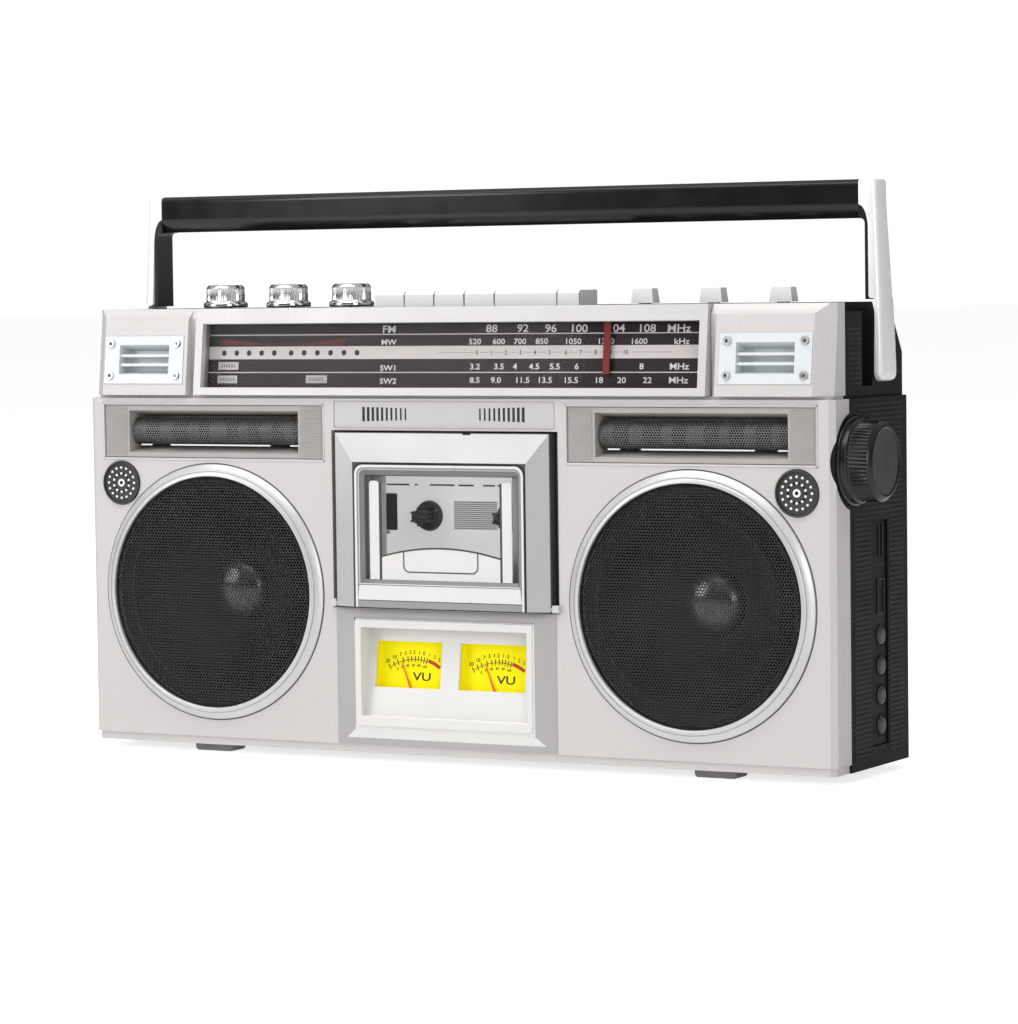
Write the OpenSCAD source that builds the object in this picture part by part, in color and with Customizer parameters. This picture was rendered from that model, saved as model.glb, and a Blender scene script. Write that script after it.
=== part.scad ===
// Portable radio cassette recorder with two woofers, a tuning dial, a tape deck and a folding handle.
// Millimetres, +Z up, front faces -Y. The feet stand on z = 0 and the origin is the bottom centre of the overall box.
// Inside each module x = 0 is the middle of the case, y = 0 the speaker panels and z = 0 the underside of the case.

/* [Case] */
// Width of the lower case across its side walls
case_w = 384; // [382:0.5:386]
// Depth from the speaker panels to the back wall
case_d = 79.6; // [79:0.1:84]
// Depth of the silver front shell, to the seam with the rear housing
seam_y = 16.5; // [16:0.1:18]
// Wall thickness of the shells
wall = 2.5; // [2.2:0.1:2.8]
// Height of the lower front section
lower_top = 162; // [161.5:0.1:162.5]
// Height of the top of the case
upper_top = 203.5; // [203:0.1:205]
// Height of the rubber feet
foot_h = 4; // [3:0.5:6]

/* [Speakers] */
// Distance of each woofer from the middle of the case
spk_x = 123.63; // [123:0.1:125]
// Height of the woofer centres
spk_z = 71.72; // [71:0.1:74]
// Radius of the visible grille
mesh_r = 54; // [50:0.5:54]
// Outer radius of the conical trim ring
ring_r = 59.5; // [58:0.5:60]

/* [Cassette deck] */
// Width of the cassette door
door_w = 111.3; // [109:0.1:112]
// Bottom edge of the door
door_z0 = 67; // [66.8:0.1:67.5]
// Top edge of the door
door_z1 = 146.8; // [146:0.1:147]
// Distance between the two tape hubs
hub_gap = 42.5; // [42:0.1:43]
// Height of the tape hubs
hub_z = 107.6; // [106:0.1:109]

/* [Controls] */
// Radius of the rotary knobs on top
knob_r = 9.05; // [7:0.05:9.5]
// Top of the rotary knobs
knob_top = 214.4; // [210:0.1:216]
// Top of the piano keys
key_top = 210.3; // [208:0.1:212]
// Radius of the tuning knob barrel
tune_r = 17.35; // [15:0.05:18]
// Outer end of the tuning knob
tune_x = 207; // [204:0.5:209]
// Radius of the push buttons on the right side
side_r = 4.2; // [3.5:0.1:4.3]

/* [Handle] */
// Underside of the grip bar
grip_z0 = 240; // [232:0.5:242]
// Top of the grip bar
grip_z1 = 257.2; // [255:0.1:262]
// Height of the handle pivot
pivot_z = 174; // [173:0.5:175]
// Depth of the handle pivot behind the front
pivot_y = 56; // [55:0.5:57]

/* [Hidden] */
hw = case_w / 2;
up_hw = hw - 2;                      // half width of the upper rear housing
tilt = 6.59;                         // lean of the dial and the end blocks
face_y = -2.4;                       // foot of the leaning face
face_z = lower_top + 1.5;
vu_t = atan(5.7 / 40.6);             // lean of the meter panel
org = [-6.4, -38, foot_h];           // moves the middle of the overall box to the origin
$fn = 64;

silver = "#cfcac6";
dark = "#1b1b1d";
chrome = "#dfe2e4";
blueish = "#d3dade";

// ---- helpers ----
function both(p) = concat(p, [for (i = [len(p) - 1:-1:0]) [-p[i][0], p[i][1]]]);
module at() translate(org) children();
module box(x0, x1, y0, y1, z0, z1) translate([x0, y0, z0]) cube([x1 - x0, y1 - y0, z1 - z0]);
module yz_slab(p, x0, x1) translate([x0, 0, 0]) rotate([90, 0, 90]) linear_extrude(x1 - x0) polygon(p);
module xz_slab(p, y0, y1) translate([0, y1, 0]) rotate([90, 0, 0]) linear_extrude(y1 - y0) polygon(p);
module ycyl(r, y0, y1, x, z, rf = -1) translate([x, y1, z]) rotate([90, 0, 0]) cylinder(h = y1 - y0, r1 = r, r2 = rf < 0 ? r : rf);
module xcyl(r, x0, x1, y, z) translate([x0, y, z]) rotate([0, 90, 0]) cylinder(h = x1 - x0, r = r);
module zcyl(r, z0, z1, x, y, rt = -1) translate([x, y, z0]) cylinder(h = z1 - z0, r1 = r, r2 = rt < 0 ? r : rt);
module mir(s) mirror([s < 0 ? 1 : 0, 0, 0]) children();
module lean() translate([0, face_y, face_z]) rotate([-tilt, 0, 0]) children();
module vu_lean() translate([0, 1, 17.2]) rotate([-vu_t, 0, 0]) children();
module frustum(w0, h0, w1, h1, y0, y1, z) hull() {
  translate([-w0 / 2, y0, z - h0 / 2]) cube([w0, 0.01, h0]);
  translate([-w1 / 2, y1 - 0.01, z - h1 / 2]) cube([w1, 0.01, h1]);
}

// ---- case ----
module end_block(s) mir(s) difference() {
  yz_slab([[face_y, face_z], [face_y + 35.5 * tan(tilt), face_z + 35.5], [6.5, upper_top - 0.6], [9, upper_top - 0.6], [9, face_z]], 136.5, up_hw + 0.3);
  translate([183, face_y, face_z]) rotate([-tilt, 0, 0]) rotate([0, 0, -45]) translate([0, 0, -6]) cube([22, 22, 54]);
}
module front_shell() color(silver) difference() {
  union() {
    translate([0, 0, 3.7]) linear_extrude(lower_top - 3.7) polygon(both([[hw, seam_y], [hw, 2.4], [hw - 2.4, 0]]));
    linear_extrude(4) polygon(both([[hw - 1, seam_y], [hw - 1, 3.2], [hw - 3.2, 1]]));
    linear_extrude(face_z) polygon(both([[hw - 2.6, seam_y], [hw - 2.6, 5], [hw - 5, 2.6]]));
    intersection() {
      translate([0, 0, face_z - 1]) linear_extrude(upper_top - face_z + 1) polygon(both([[up_hw + 0.3, seam_y], [up_hw + 0.3, 9], [up_hw - 5, 3.9]]));
      yz_slab([[3.9, face_z], [3.9, 199], [6.7, upper_top], [seam_y, upper_top], [seam_y, face_z]], -up_hw - 1, up_hw + 1);
    }
    end_block(1);
    end_block(-1);
  }
  box(-hw + wall, hw - wall, 3, seam_y + 1, wall, lower_top - 5);
  box(-up_hw + wall, up_hw - wall, 9, seam_y + 1, lower_top - 6, upper_top - wall);
  // centre column: deck bay, meter bay, label seat
  box(-58.6, 58.6, -3, 4, door_z0 - 0.6, door_z1 + 0.8);
  box(-54.5, 54.5, -3, seam_y + 1, door_z0 + 1, door_z1 - 1);
  box(-45.3, 45.3, -3, 4, 15.4, 59.6);
  box(-57.2, 57.2, -1, 0.6, 148.6, 161);
  box(-132.7, 132.7, -4, 12.4, face_z - 0.2, upper_top + 1);
  for (s = [-1, 1]) {
    ycyl(mesh_r + 2.2, -1, 4, s * spk_x, spk_z);
    ycyl(9.9, -1, 4, s * 174.65, 122);
    mir(s) {
      box(63.2, 183.9, -1, 10, 134, 158.8);
      lean() {
        box(138.4, 182.6, -1, 0.85, 5.1, 27.8);
        box(145.6, 175.2, -1, 20, 8.5, 24.7);
      }
    }
  }
  xcyl(21.6, 184, 200, 22, 135);
}
// ears beside the deck bay that carry the door
module door_ears() for (s = [-1, 1]) mir(s) difference() {
  box(56.1, 59.4, -2.3, 1.4, 67.1, 70.4);
  xcyl(1.25, 55, 59.2, -0.9, 68.6);
}
module rear_housing() color(dark) difference() {
  union() {
    box(-hw, hw, seam_y, case_d, 0, lower_top);
    yz_slab([[seam_y, lower_top - 1], [seam_y, 199.5], [case_d - 11.7, 199.5], [case_d - 3.1, 186], [case_d, 181], [case_d, lower_top - 1]], -up_hw, up_hw);
    yz_slab([[seam_y, lower_top - 1], [seam_y, upper_top], [case_d - 13, upper_top], [case_d - 3.1, 186], [case_d, 181], [case_d, lower_top - 1]], -181.5, 181.5);
    xcyl(21.3, 186, hw, 22, 135);
  }
  // inside
  box(-hw + wall, hw - wall, seam_y - 1, case_d - wall, wall, lower_top - 6);
  yz_slab([[seam_y - 1, lower_top - 7], [seam_y - 1, upper_top - wall], [63.5, upper_top - wall], [69.5, 190], [69.5, lower_top - 7]], -178.5, 178.5);
  // battery door seat, shelf for the stowed aerial
  box(-72.3, 72.3, case_d - wall - 1, case_d + 1, 2.4, 75.3);
  box(-up_hw - 3, 173, 72.3, case_d + 1, 171.5, upper_top + 1);
  ycyl(2.05, 69, 73, 165, 176);
  for (s = [-1, 1]) {
    ycyl(4, case_d - 1.2, case_d + 1, s * 178, 12);
    ycyl(4, case_d - 1.2, case_d + 1, s * 178, 148);
    ycyl(4, case_d - 1.2, case_d + 1, s * 90, 148);
    mir(s) {
      box(183, up_hw + 1, 35.5, 46.5, 167, upper_top);
      xcyl(4.05, 180, up_hw + 1, pivot_y, pivot_z);
      xcyl(1.05, 71, 74, case_d - 1.25, 4.5);
    }
  }
  // top controls
  for (x = [-134.1, -99.1, -64.7]) zcyl(3.1, 198, upper_top + 1, x, 30);
  box(-48.2, 59.2, 21.6, 40.4, 198, upper_top + 1);
  for (x = [87.8, 121.6, 155.4]) box(x - 13, x + 13, 28.3, 31.7, 198, upper_top + 1);
  // right side: tuning knob seat, port strip
  xcyl(19.9, 190.4, hw + 1, 22, 135);
  xcyl(3.05, 185, hw + 1, 22, 135);
  box(hw - 1, hw + 1, 39.5, 57, 9, 108);
  for (z = [57.2, 43.8, 30.7, 17.6]) xcyl(side_r + 0.3, hw - 4, hw + 1, 50.5, z);
  box(hw - 4, hw + 1, 47.3, 53.7, 67.5, 81.7);
  box(hw - 4, hw + 1, 49, 52, 92.4, 105.6);
  // mains inlet
  box(109.9, 132.1, case_d - 4, case_d + 1, 22.9, 37.1);
}
module battery_tray() difference() {
  box(-67, 67, 42, case_d - wall - 1, wall, 74.6);
  box(-64.5, 64.5, 44, case_d, 3.6, 72.4);
}
module battery_cover() color(dark) difference() {
  union() {
    box(-72, 72, case_d - wall, case_d, 3.3, 75);
    box(-14, 14, case_d - wall - 0.9, case_d - wall + 0.5, 68, 70.5);
    xcyl(1, -73.5, 73.5, case_d - 1.25, 4.5);
  }
  for (i = [0:4]) box(-16, 16, case_d - 0.8, case_d + 1, 56 + 3 * i, 57.4 + 3 * i);
}
module battery_contacts() color("#c8b27a") for (s = [-1, 1]) for (k = [0, 1]) {
  box(s * 64.1 - 0.35, s * 64.1 + 0.35, 50, 72, 8 + 35 * k, 32 + 35 * k);
  box(s * 63.4 - 0.4, s * 63.4 + 0.4, 58, 64, 17 + 35 * k, 23 + 35 * k);
}
module rubber_feet() color("#2a2a2b") for (s = [-1, 1]) for (y = [8, 62])
  xz_slab([[s * 130.7 - 10.2, 0], [s * 130.7 - 10.2, 1 - foot_h], [s * 130.7 - 9.2, -foot_h], [s * 130.7 + 9.2, -foot_h], [s * 130.7 + 10.2, 1 - foot_h], [s * 130.7 + 10.2, 0]], y, y + 12);
module case_screws() color("#8d9094") {
  for (s = [-1, 1]) {
    for (p = [[178, 12], [178, 148], [90, 148]]) difference() {
      ycyl(3.5, case_d - 1.2, case_d - 0.3, s * p[0], p[1]);
      box(s * p[0] - 2, s * p[0] + 2, case_d - 0.8, case_d, p[1] - 0.4, p[1] + 0.4);
      box(s * p[0] - 0.4, s * p[0] + 0.4, case_d - 0.8, case_d, p[1] - 2, p[1] + 2);
    }
    lean() for (x = [142.3, 179]) for (z = [9.1, 24.2]) difference() {
      ycyl(1.9, -1.1, -0.35, s * x, z);
      ycyl(0.9, -1.4, -0.7, s * x, z);
    }
  }
}

// ---- speakers ----
module turned(p, x, z) translate([x, 0, z]) rotate([90, 0, 0]) rotate_extrude($fn = 96) polygon(p);
module speaker_rings() color(silver) for (s = [-1, 1])
  turned([[ring_r, 0], [mesh_r + 1.2, 3.6], [mesh_r, 3.6], [mesh_r, -3], [mesh_r + 2, -3], [mesh_r + 2, 0]], s * spk_x, spk_z);
module speaker_grilles() color("#131314") for (s = [-1, 1])
  ycyl(mesh_r - 0.05, -2.4, -1.4, s * spk_x, spk_z);
module woofer_drivers() color("#26282b") for (s = [-1, 1])
  turned([[mesh_r + 2.6, -3.1], [mesh_r + 2.6, -4.9], [50, -4.9], [33, -27], [33, -30], [35, -30], [35, -44], [8, -44], [8, -30], [20, -30], [20, -28], [31.5, -25.5], [48.6, -3.1]], s * spk_x, spk_z);
module woofer_cones() color("#101011") for (s = [-1, 1])
  turned([[48.2, -3.3], [44, -1], [40.5, -3.2], [15.6, -23.2], [14.6, -20.6], [12.6, -18.6], [9, -16.9], [4.5, -15.9], [0, -15.6], [0, -17], [4.3, -17.4], [8.6, -18.3], [12, -20], [14, -22.2], [14.4, -26.5], [15.6, -26.5], [16.8, -24.6], [41, -4.6], [44, -2.4], [47.4, -4.4]], s * spk_x, spk_z);
module tweeter_horns() color("#3a3836") for (s = [-1, 1]) mir(s) difference() {
  union() {
    box(63.5, 183.6, 0.7, 9.6, 134.3, 158.5);
    box(74.5, 172.5, 9, 17.6, 135.6, 157);
  }
  yz_slab([[0, 136.3], [0, 156.3], [15.5, 153], [15.5, 139.6]], 76.9, 170.3);
  for (x = [65.2, 171.6]) for (i = [0:9]) box(x, x + 10.5, 0, 1.2, 136.2 + 2.1 * i, 137.2 + 2.1 * i);
}
module tweeter_meshes() color("#1a1a1b") for (s = [-1, 1]) mir(s) difference() {
  xcyl(6.4, 77.1, 170.1, 8.9, 146.3);
  xcyl(5.6, 76, 171, 8.9, 146.3);
}
module vent_plates() color(blueish) for (s = [-1, 1]) mir(s) lean() {
  difference() {
    union() {
      box(138.5, 182.5, -0.35, 0.75, 5.2, 27.7);
      box(145.7, 175.1, 0.7, 8.5, 8.6, 24.6);
    }
    yz_slab([[-1, 9.5], [-1, 23.7], [7.3, 21.4], [7.3, 11.8]], 146.6, 174.2);
  }
  for (z = [13.6, 17.9]) box(146.5, 174.3, 0.9, 4.6, z, z + 1.3);
}
module mic_grilles() color("#1c1c1d") for (s = [-1, 1]) difference() {
  turned([[0, 0.3], [8.9, 0.3], [9.3, 1.1], [9.9, 1.1], [10.5, 0], [9.6, 0], [9.6, -2.6], [0, -2.6]], s * 174.65, 122);
  for (n = [[0, 1], [10, 4.2], [16, 7.2]]) for (i = [0:max(0, n[0] - 1)])
    translate([s * 174.65 + n[1] * (n[0] > 0 ? 1 : 0) * cos(i * 360 / max(1, n[0])), 0, 122 + n[1] * (n[0] > 0 ? 1 : 0) * sin(i * 360 / max(1, n[0]))]) rotate([90, 0, 0]) cylinder(h = 2, r = 0.55, center = true, $fn = 16);
}

// ---- meters ----
module vu_frame() color(silver) difference() {
  union() {
    frustum(114, 62, 92, 49.4, -0.01, -2, 35);
    difference() {
      frustum(92, 49.4, 90, 47.4, -0.01, -2.6, 36.9);
      box(-44.4, 44.4, -4, 1, 15.4, 59.4);
    }
    yz_slab([[-0.2, 15.7], [3, 15.7], [8.7, 59.3], [-0.2, 59.3]], -45, 45);
  }
  yz_slab([[-3, 17.2], [1, 17.2], [6.7, 57.8], [-3, 57.8]], -43, 43);
  for (x = [-21.9, 21.9]) vu_lean() box(x - 17.3, x + 17.3, -1, 4, 13.2, 34.4);
}
module vu_meters() color("#e8d80c") for (x = [-21.9, 21.9]) vu_lean() difference() {
  box(x - 18.6, x + 18.6, 3, 14, 9.4, 35.6);
  box(x - 17.6, x + 17.6, 2, 5, 10.2, 34.8);
}
module needle(x) color("#d8502a") vu_lean() translate([x, 0, 11.8]) rotate([0, -25, 0]) {
  ycyl(0.5, 4.0, 4.6, 0, 0);
  box(-0.25, 0.25, 4.1, 4.5, 0, 14.5);
}
module vu_needle_left() needle(-21.9);
module vu_needle_right() needle(21.9);

// ---- dial ----
module dial_bezel() color("#d2cfcc") difference() {
  yz_slab([[face_y, face_z], [face_y + 40 * tan(tilt), upper_top], [12, upper_top], [12, face_z]], -132.3, 132.3);
  lean() {
    box(-128.4, 128.4, -2, 4, 3.6, 33.2);
    box(-130.4, 130.4, 3.2, 30, 1.8, 37.2);
  }
}
module dial_window() color([0.8, 0.85, 0.9, 0.35]) lean() box(-130.2, 130.2, 3.3, 4.5, 2, 35.4);
module dial_plate() color("#2e2926") lean() box(-130.2, 130.2, 9, 10.2, 2, 34);
module dial_needle() color("#a31414") lean() {
  box(78, 82, 6.8, 7.6, 8.1, 36.2);
  box(78, 82, 6.8, 12.3, 34.7, 36.2);
  box(74, 86, 10.8, 12.3, 30, 36.2);
}

// ---- deck ----
module deck_plate() color("#b9b7b3") difference() {
  union() {
    box(-54.2, 54.2, 27, 29, 56, 146.4);
    for (s = [-1, 1]) mir(s) box(53, 54.2, 6, 28, 68.3, 145.6);
    box(-54.2, 54.2, 6, 28, 144.8, 146);
    for (s = [-1, 1]) mir(s) box(36, 54.2, 17, 28, 68.3, 69.4);
  }
  ycyl(4.55, 26, 30, -hub_gap / 2, hub_z);
  ycyl(4.55, 26, 30, hub_gap / 2, hub_z);
  ycyl(1.3, 26, 30, 23.5, 80);
}
module hub(x) color("#5a5a5c") difference() {
  union() {
    ycyl(3.1, 12.5, 26, x, hub_z);
    ycyl(2.2, 10.6, 12.6, x, hub_z, 1.2);
    ycyl(4.5, 25, 32, x, hub_z);
    ycyl(9, 30, 33, x, hub_z);
    for (a = [0, 120, 240]) translate([x, 0, hub_z]) rotate([0, a, 0]) box(-0.6, 0.6, 13, 24, 2.8, 4.4);
  }
  ycyl(0.8, 28, 34, x, hub_z);
}
module supply_hub() hub(-hub_gap / 2);
module take_up_hub() hub(hub_gap / 2);
module flywheel() color("#a9abad") {
  ycyl(1.2, 10.6, 37, 23.5, 80);
  difference() {
    ycyl(22, 35, 41, 23.5, 80);
    ycyl(17, 34, 36.5, 23.5, 80);
  }
}
module deck_motor() color("#8f9296") {
  ycyl(15, 44, 66, -34, 92);
  ycyl(1, 40.8, 45, -34, 92);
}
module motor_pulley() color("#c9b06a") difference() {
  ycyl(4, 35.5, 41.6, -34, 92);
  ycyl(1.04, 40.5, 42, -34, 92);
}
belt_d = sqrt(57.5 * 57.5 + 12 * 12);
module belt_loop(o) translate([-34, 92]) rotate(-atan(12 / 57.5)) {
  circle(r = 4.3 + o, $fn = 48);
  translate([belt_d, 0]) circle(r = 22.3 + o, $fn = 96);
  polygon([let (a = asin(18 / belt_d)) (4.3 + o) * [-sin(a), cos(a)], let (a = asin(18 / belt_d)) [belt_d, 0] + (22.3 + o) * [-sin(a), cos(a)],
    let (a = asin(18 / belt_d)) [belt_d, 0] + (22.3 + o) * [-sin(a), -cos(a)], let (a = asin(18 / belt_d)) (4.3 + o) * [-sin(a), -cos(a)]]);
}
module drive_belt() color("#151515") translate([0, 40, 0]) rotate([90, 0, 0]) linear_extrude(3) difference() { belt_loop(1); belt_loop(0); }
module head_carriage() color("#9a9c9e") difference() {
  union() {
    box(-30, 32, 24.6, 26.4, 57, 70);
    box(-9, 9, 14, 25, 60, 69.6);
    box(-8, 8, 12.4, 15, 61, 69.2);
    box(-26, -16, 14, 25, 60, 68.6);
    ycyl(1.2, 11.4, 25, 23.5, 67);
  }
  box(-4, 4, 12, 13, 63, 70);
}
module pinch_roller() color("#1a1a1a") difference() {
  ycyl(5.5, 12.2, 18.6, 23.5, 67);
  ycyl(1.26, 12, 19, 23.5, 67);
}
module cassette_door() color(silver) difference() {
  union() {
    box(-door_w / 2, door_w / 2, -2.2, 4.1, door_z0, door_z1);
    // raised frame that stands out towards the window
    hull() {
      box(-door_w / 2 + 0.6, door_w / 2 - 0.6, -2.21, -2.2, door_z0 + 0.4, door_z1 - 0.4);
      box(-44.8, 44.8, -5.2, -5.19, door_z0 + 0.4, 133.4);
    }
    for (s = [-1, 1]) mir(s) xcyl(1.2, 50, 58.4, -0.9, 68.6);
  }
  box(-41.1, 41.1, -6, -1.2, 78.4, 129.8);
  box(-39, 39, -6, 5, 80.4, 127.8);
  box(-53, 53, 1, 5, 71, 144);
}
module door_window() color([0.85, 0.88, 0.9, 0.35]) box(-41, 41, -2.9, -1.3, 78.5, 129.7);
module cassette_holder() color("#a5a39f") for (s = [-1, 1]) mir(s) {
  box(33, 38.6, 4.2, 5.2, 71, 135);
  box(38.6, 52.3, 4.2, 5.2, 71, 135);
  box(50.7, 52.3, 4.2, 15.5, 70, 118);
  box(36, 52.3, 4.2, 15.5, 69.9, 71.2);
}

// ---- controls on top ----
module key(x0, x1) color(chrome) difference() {
  union() {
    box(x0 + 0.35, x1 - 0.35, 22, 40, 199.5, key_top - 1.4);
    yz_slab([[22, key_top - 1.5], [23.4, key_top], [40, key_top], [40, key_top - 1.5]], x0 + 0.35, x1 - 0.35);
    box((x0 + x1) / 2 - 2.5, (x0 + x1) / 2 + 2.5, 34, 37, 188, 200);
  }
}
module record_key() key(-47.8, -31.8);
module play_key() key(-31.8, -16.2);
module rewind_key() key(-16.2, -0.4);
module forward_key() key(-0.4, 15.3);
module stop_key() key(15.3, 47.3);
module pause_key() key(47.3, 58.9);
module top_knob(x) color(chrome) difference() {
  union() {
    zcyl(10.45, 203.8, 205.6, x, 30);
    zcyl(10.45, 205.6, 206.4, x, 30, 9.6);
    zcyl(knob_r, 206.3, knob_top - 1, x, 30);
    zcyl(knob_r, knob_top - 1, knob_top, x, 30, knob_r - 1.1);
    zcyl(3, 190, 204, x, 30);
  }
  for (i = [0:35]) translate([x, 30, 207.4]) rotate([0, 0, i * 10]) translate([knob_r, 0, 0]) cylinder(h = knob_top - 209.2, r = 0.32, $fn = 12);
}
module volume_knob() top_knob(-134.1);
module balance_knob() top_knob(-99.1);
module tone_knob() top_knob(-64.7);
module slider(x) color(silver) {
  hull() {
    translate([x - 5.5, 26.5, 204]) cube([11, 7, 0.01]);
    translate([x - 4.7, 27.1, 210.49]) cube([9.4, 5.8, 0.01]);
  }
  box(x - 2.5, x + 2.5, 28.7, 31.3, 190, 204.1);
}
module function_slider() slider(87.8);
module band_slider() slider(121.6);
module mode_slider() slider(155.4);
module tuning_knob() color("#151515") difference() {
  union() {
    xcyl(19.5, 190.8, 193, 22, 135);
    xcyl(18.4, 192.9, 196, 22, 135);
    xcyl(tune_r, 195.9, tune_x - 1.6, 22, 135);
    translate([tune_x - 1.7, 22, 135]) rotate([0, 90, 0]) cylinder(h = 1.7, r1 = tune_r, r2 = 15.25);
    xcyl(3, 176, 191, 22, 135);
  }
  for (i = [0:47]) translate([197, 22, 135]) rotate([i * 7.5, 0, 0]) translate([0, tune_r, 0]) rotate([0, 90, 0]) cylinder(h = tune_x - 199.4, r = 0.5, $fn = 12);
}

// ---- handle ----
module handle_grip() color("#121213") difference() {
  translate([-182.6, 56.2, (grip_z0 + grip_z1) / 2]) rotate([0, 90, 0]) linear_extrude(365.2) intersection() {
    square([grip_z1 - grip_z0, 13.8], center = true);
    circle(r = 10.4, $fn = 64);
  }
  for (i = [0:6]) box(-181, 181, 48, 49.7, 242.2 + 2 * i, 243.2 + 2 * i);
  for (i = [0:6]) box(-181, 181, 62.7, 64.5, 242.2 + 2 * i, 243.2 + 2 * i);
}
module arm(s) color("#c9c8c6") mir(s) {
  // outer plate beside the case, then the box section that widens up to the grip
  hull() {
    box(190.35, 194.2, 47.2, 65.5, 171.5, 173);
    box(190.35, 193.8, 48.4, 64.3, 168.7, 169);
    box(190.35, 192.8, 48.4, 64.3, 210, 212);
  }
  hull() {
    box(190.35, 192.8, 48.4, 64.3, 210, 212);
    box(186.9, 191, 48.6, 64.1, 205.2, 206);
    box(182.6, 190.6, 49.3, 63.1, 250, 257.2);
    box(182.6, 190.9, 49.3, 63.1, 240, 241);
  }
  xcyl(4, 181, 191, pivot_y, pivot_z);
}
module left_arm() arm(-1);
module right_arm() arm(1);

// ---- side ports and buttons ----
module media_sockets() color("#9fa2a5") {
  difference() {
    box(176, 190.6, 47.4, 53.6, 67.6, 81.6);
    box(178, 192, 47.95, 53.05, 68.35, 80.85);
  }
  difference() {
    box(176, 190.6, 49.1, 51.9, 92.5, 105.5);
    box(178, 192, 49.6, 51.4, 93, 105);
  }
}
module side_button(z) color("#1d1d1f") {
  xcyl(side_r, 185, hw - 0.4, 50.5, z);
  xcyl(side_r - 0.6, hw - 0.5, hw + 0.3, 50.5, z);
}
module skip_button() side_button(57.2);
module back_button() side_button(43.8);
module play_button() side_button(30.7);
module mode_button() side_button(17.6);

// ---- aerial and inside ----
module antenna_base() color(chrome) difference() {
  union() {
    ycyl(4.3, 72.6, 79.4, 165, 176);
    ycyl(2, 69.2, 73, 165, 176);
    xcyl(3.2, -108, 163, 76, 176);
  }
  xcyl(2.45, -109, 150, 76, 176);
}
module antenna_tip() color(chrome) {
  xcyl(2.4, -112, 149, 76, 176);
  xcyl(3.2, -119, -110, 76, 176);
}
module main_board() color("#2f6b3a") {
  box(-110, 110, 44, 68.5, 158, 159.6);
  for (i = [0:6]) zcyl(4, 159.6, 170, -90 + 30 * i, 56);
  box(-60, -30, 46, 66, 150, 158);
}
module mains_transformer() color("#6b6f73") {
  box(74, 112, 52, 76, 86, 120);
  box(80, 106, 47, 77, 92, 114);
}
module ac_inlet() color("#161617") {
  difference() {
    box(110, 132, 64, case_d - 0.2, 23, 37);
    box(113, 129, 67, case_d + 1, 25.4, 34.6);
  }
  for (s = [-1, 1]) ycyl(1.2, 66, case_d - 2, 121 + s * 4.3, 30);
}

at() { front_shell(); color(silver) door_ears(); }
at() { rear_housing(); color(dark) battery_tray(); }
at() battery_cover();
at() battery_contacts();
at() speaker_rings();
at() speaker_grilles();
at() woofer_drivers();
at() woofer_cones();
at() tweeter_horns();
at() tweeter_meshes();
at() vent_plates();
at() mic_grilles();
at() vu_frame();
at() vu_meters();
at() vu_needle_left();
at() vu_needle_right();
at() dial_bezel();
at() dial_window();
at() dial_plate();
at() dial_needle();
at() deck_plate();
at() deck_motor();
at() motor_pulley();
at() drive_belt();
at() flywheel();
at() supply_hub();
at() take_up_hub();
at() head_carriage();
at() pinch_roller();
at() cassette_door();
at() door_window();
at() cassette_holder();
at() record_key();
at() play_key();
at() rewind_key();
at() forward_key();
at() stop_key();
at() pause_key();
at() volume_knob();
at() balance_knob();
at() tone_knob();
at() function_slider();
at() band_slider();
at() mode_slider();
at() tuning_knob();
at() handle_grip();
at() left_arm();
at() right_arm();
at() media_sockets();
at() skip_button();
at() back_button();
at() play_button();
at() mode_button();
at() antenna_base();
at() antenna_tip();
at() main_board();
at() mains_transformer();
at() ac_inlet();
at() rubber_feet();
at() case_screws();
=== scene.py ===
import math
import bpy
import bmesh
import numpy as np
from mathutils import Matrix, Vector


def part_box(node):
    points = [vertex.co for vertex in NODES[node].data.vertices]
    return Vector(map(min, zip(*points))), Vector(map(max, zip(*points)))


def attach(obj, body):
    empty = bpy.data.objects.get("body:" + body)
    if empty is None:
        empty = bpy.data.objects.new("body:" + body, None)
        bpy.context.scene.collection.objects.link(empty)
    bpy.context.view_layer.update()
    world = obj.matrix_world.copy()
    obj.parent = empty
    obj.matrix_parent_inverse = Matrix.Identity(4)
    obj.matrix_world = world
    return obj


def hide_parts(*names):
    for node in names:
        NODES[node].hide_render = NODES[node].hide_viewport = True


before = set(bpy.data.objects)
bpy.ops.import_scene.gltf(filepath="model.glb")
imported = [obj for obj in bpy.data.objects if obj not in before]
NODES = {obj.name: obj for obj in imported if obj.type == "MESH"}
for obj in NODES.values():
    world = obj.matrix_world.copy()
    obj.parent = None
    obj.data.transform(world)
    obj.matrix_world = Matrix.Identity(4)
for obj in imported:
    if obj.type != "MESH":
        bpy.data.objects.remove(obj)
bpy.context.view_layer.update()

# The drawing frame of the part, in millimetres: x from the middle of the case, y from the
# speaker panel backwards, z from the underside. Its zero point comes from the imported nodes.
_lo, _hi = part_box("dial_bezel")
OX = (_lo.x + _hi.x) / 2
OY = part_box("battery_cover")[1].y - 0.0796
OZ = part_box("rubber_feet")[0].z + 0.004
CAL = Matrix.Translation((OX, OY, OZ)) @ Matrix.Scale(0.001, 4)
rad = math.radians
LEAN = Matrix.Translation((0, -2.4, 163.5)) @ Matrix.Rotation(rad(-6.59), 4, "X")
VU = Matrix.Translation((0, 1, 17.2)) @ Matrix.Rotation(-math.atan(5.7 / 40.6), 4, "X")


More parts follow.
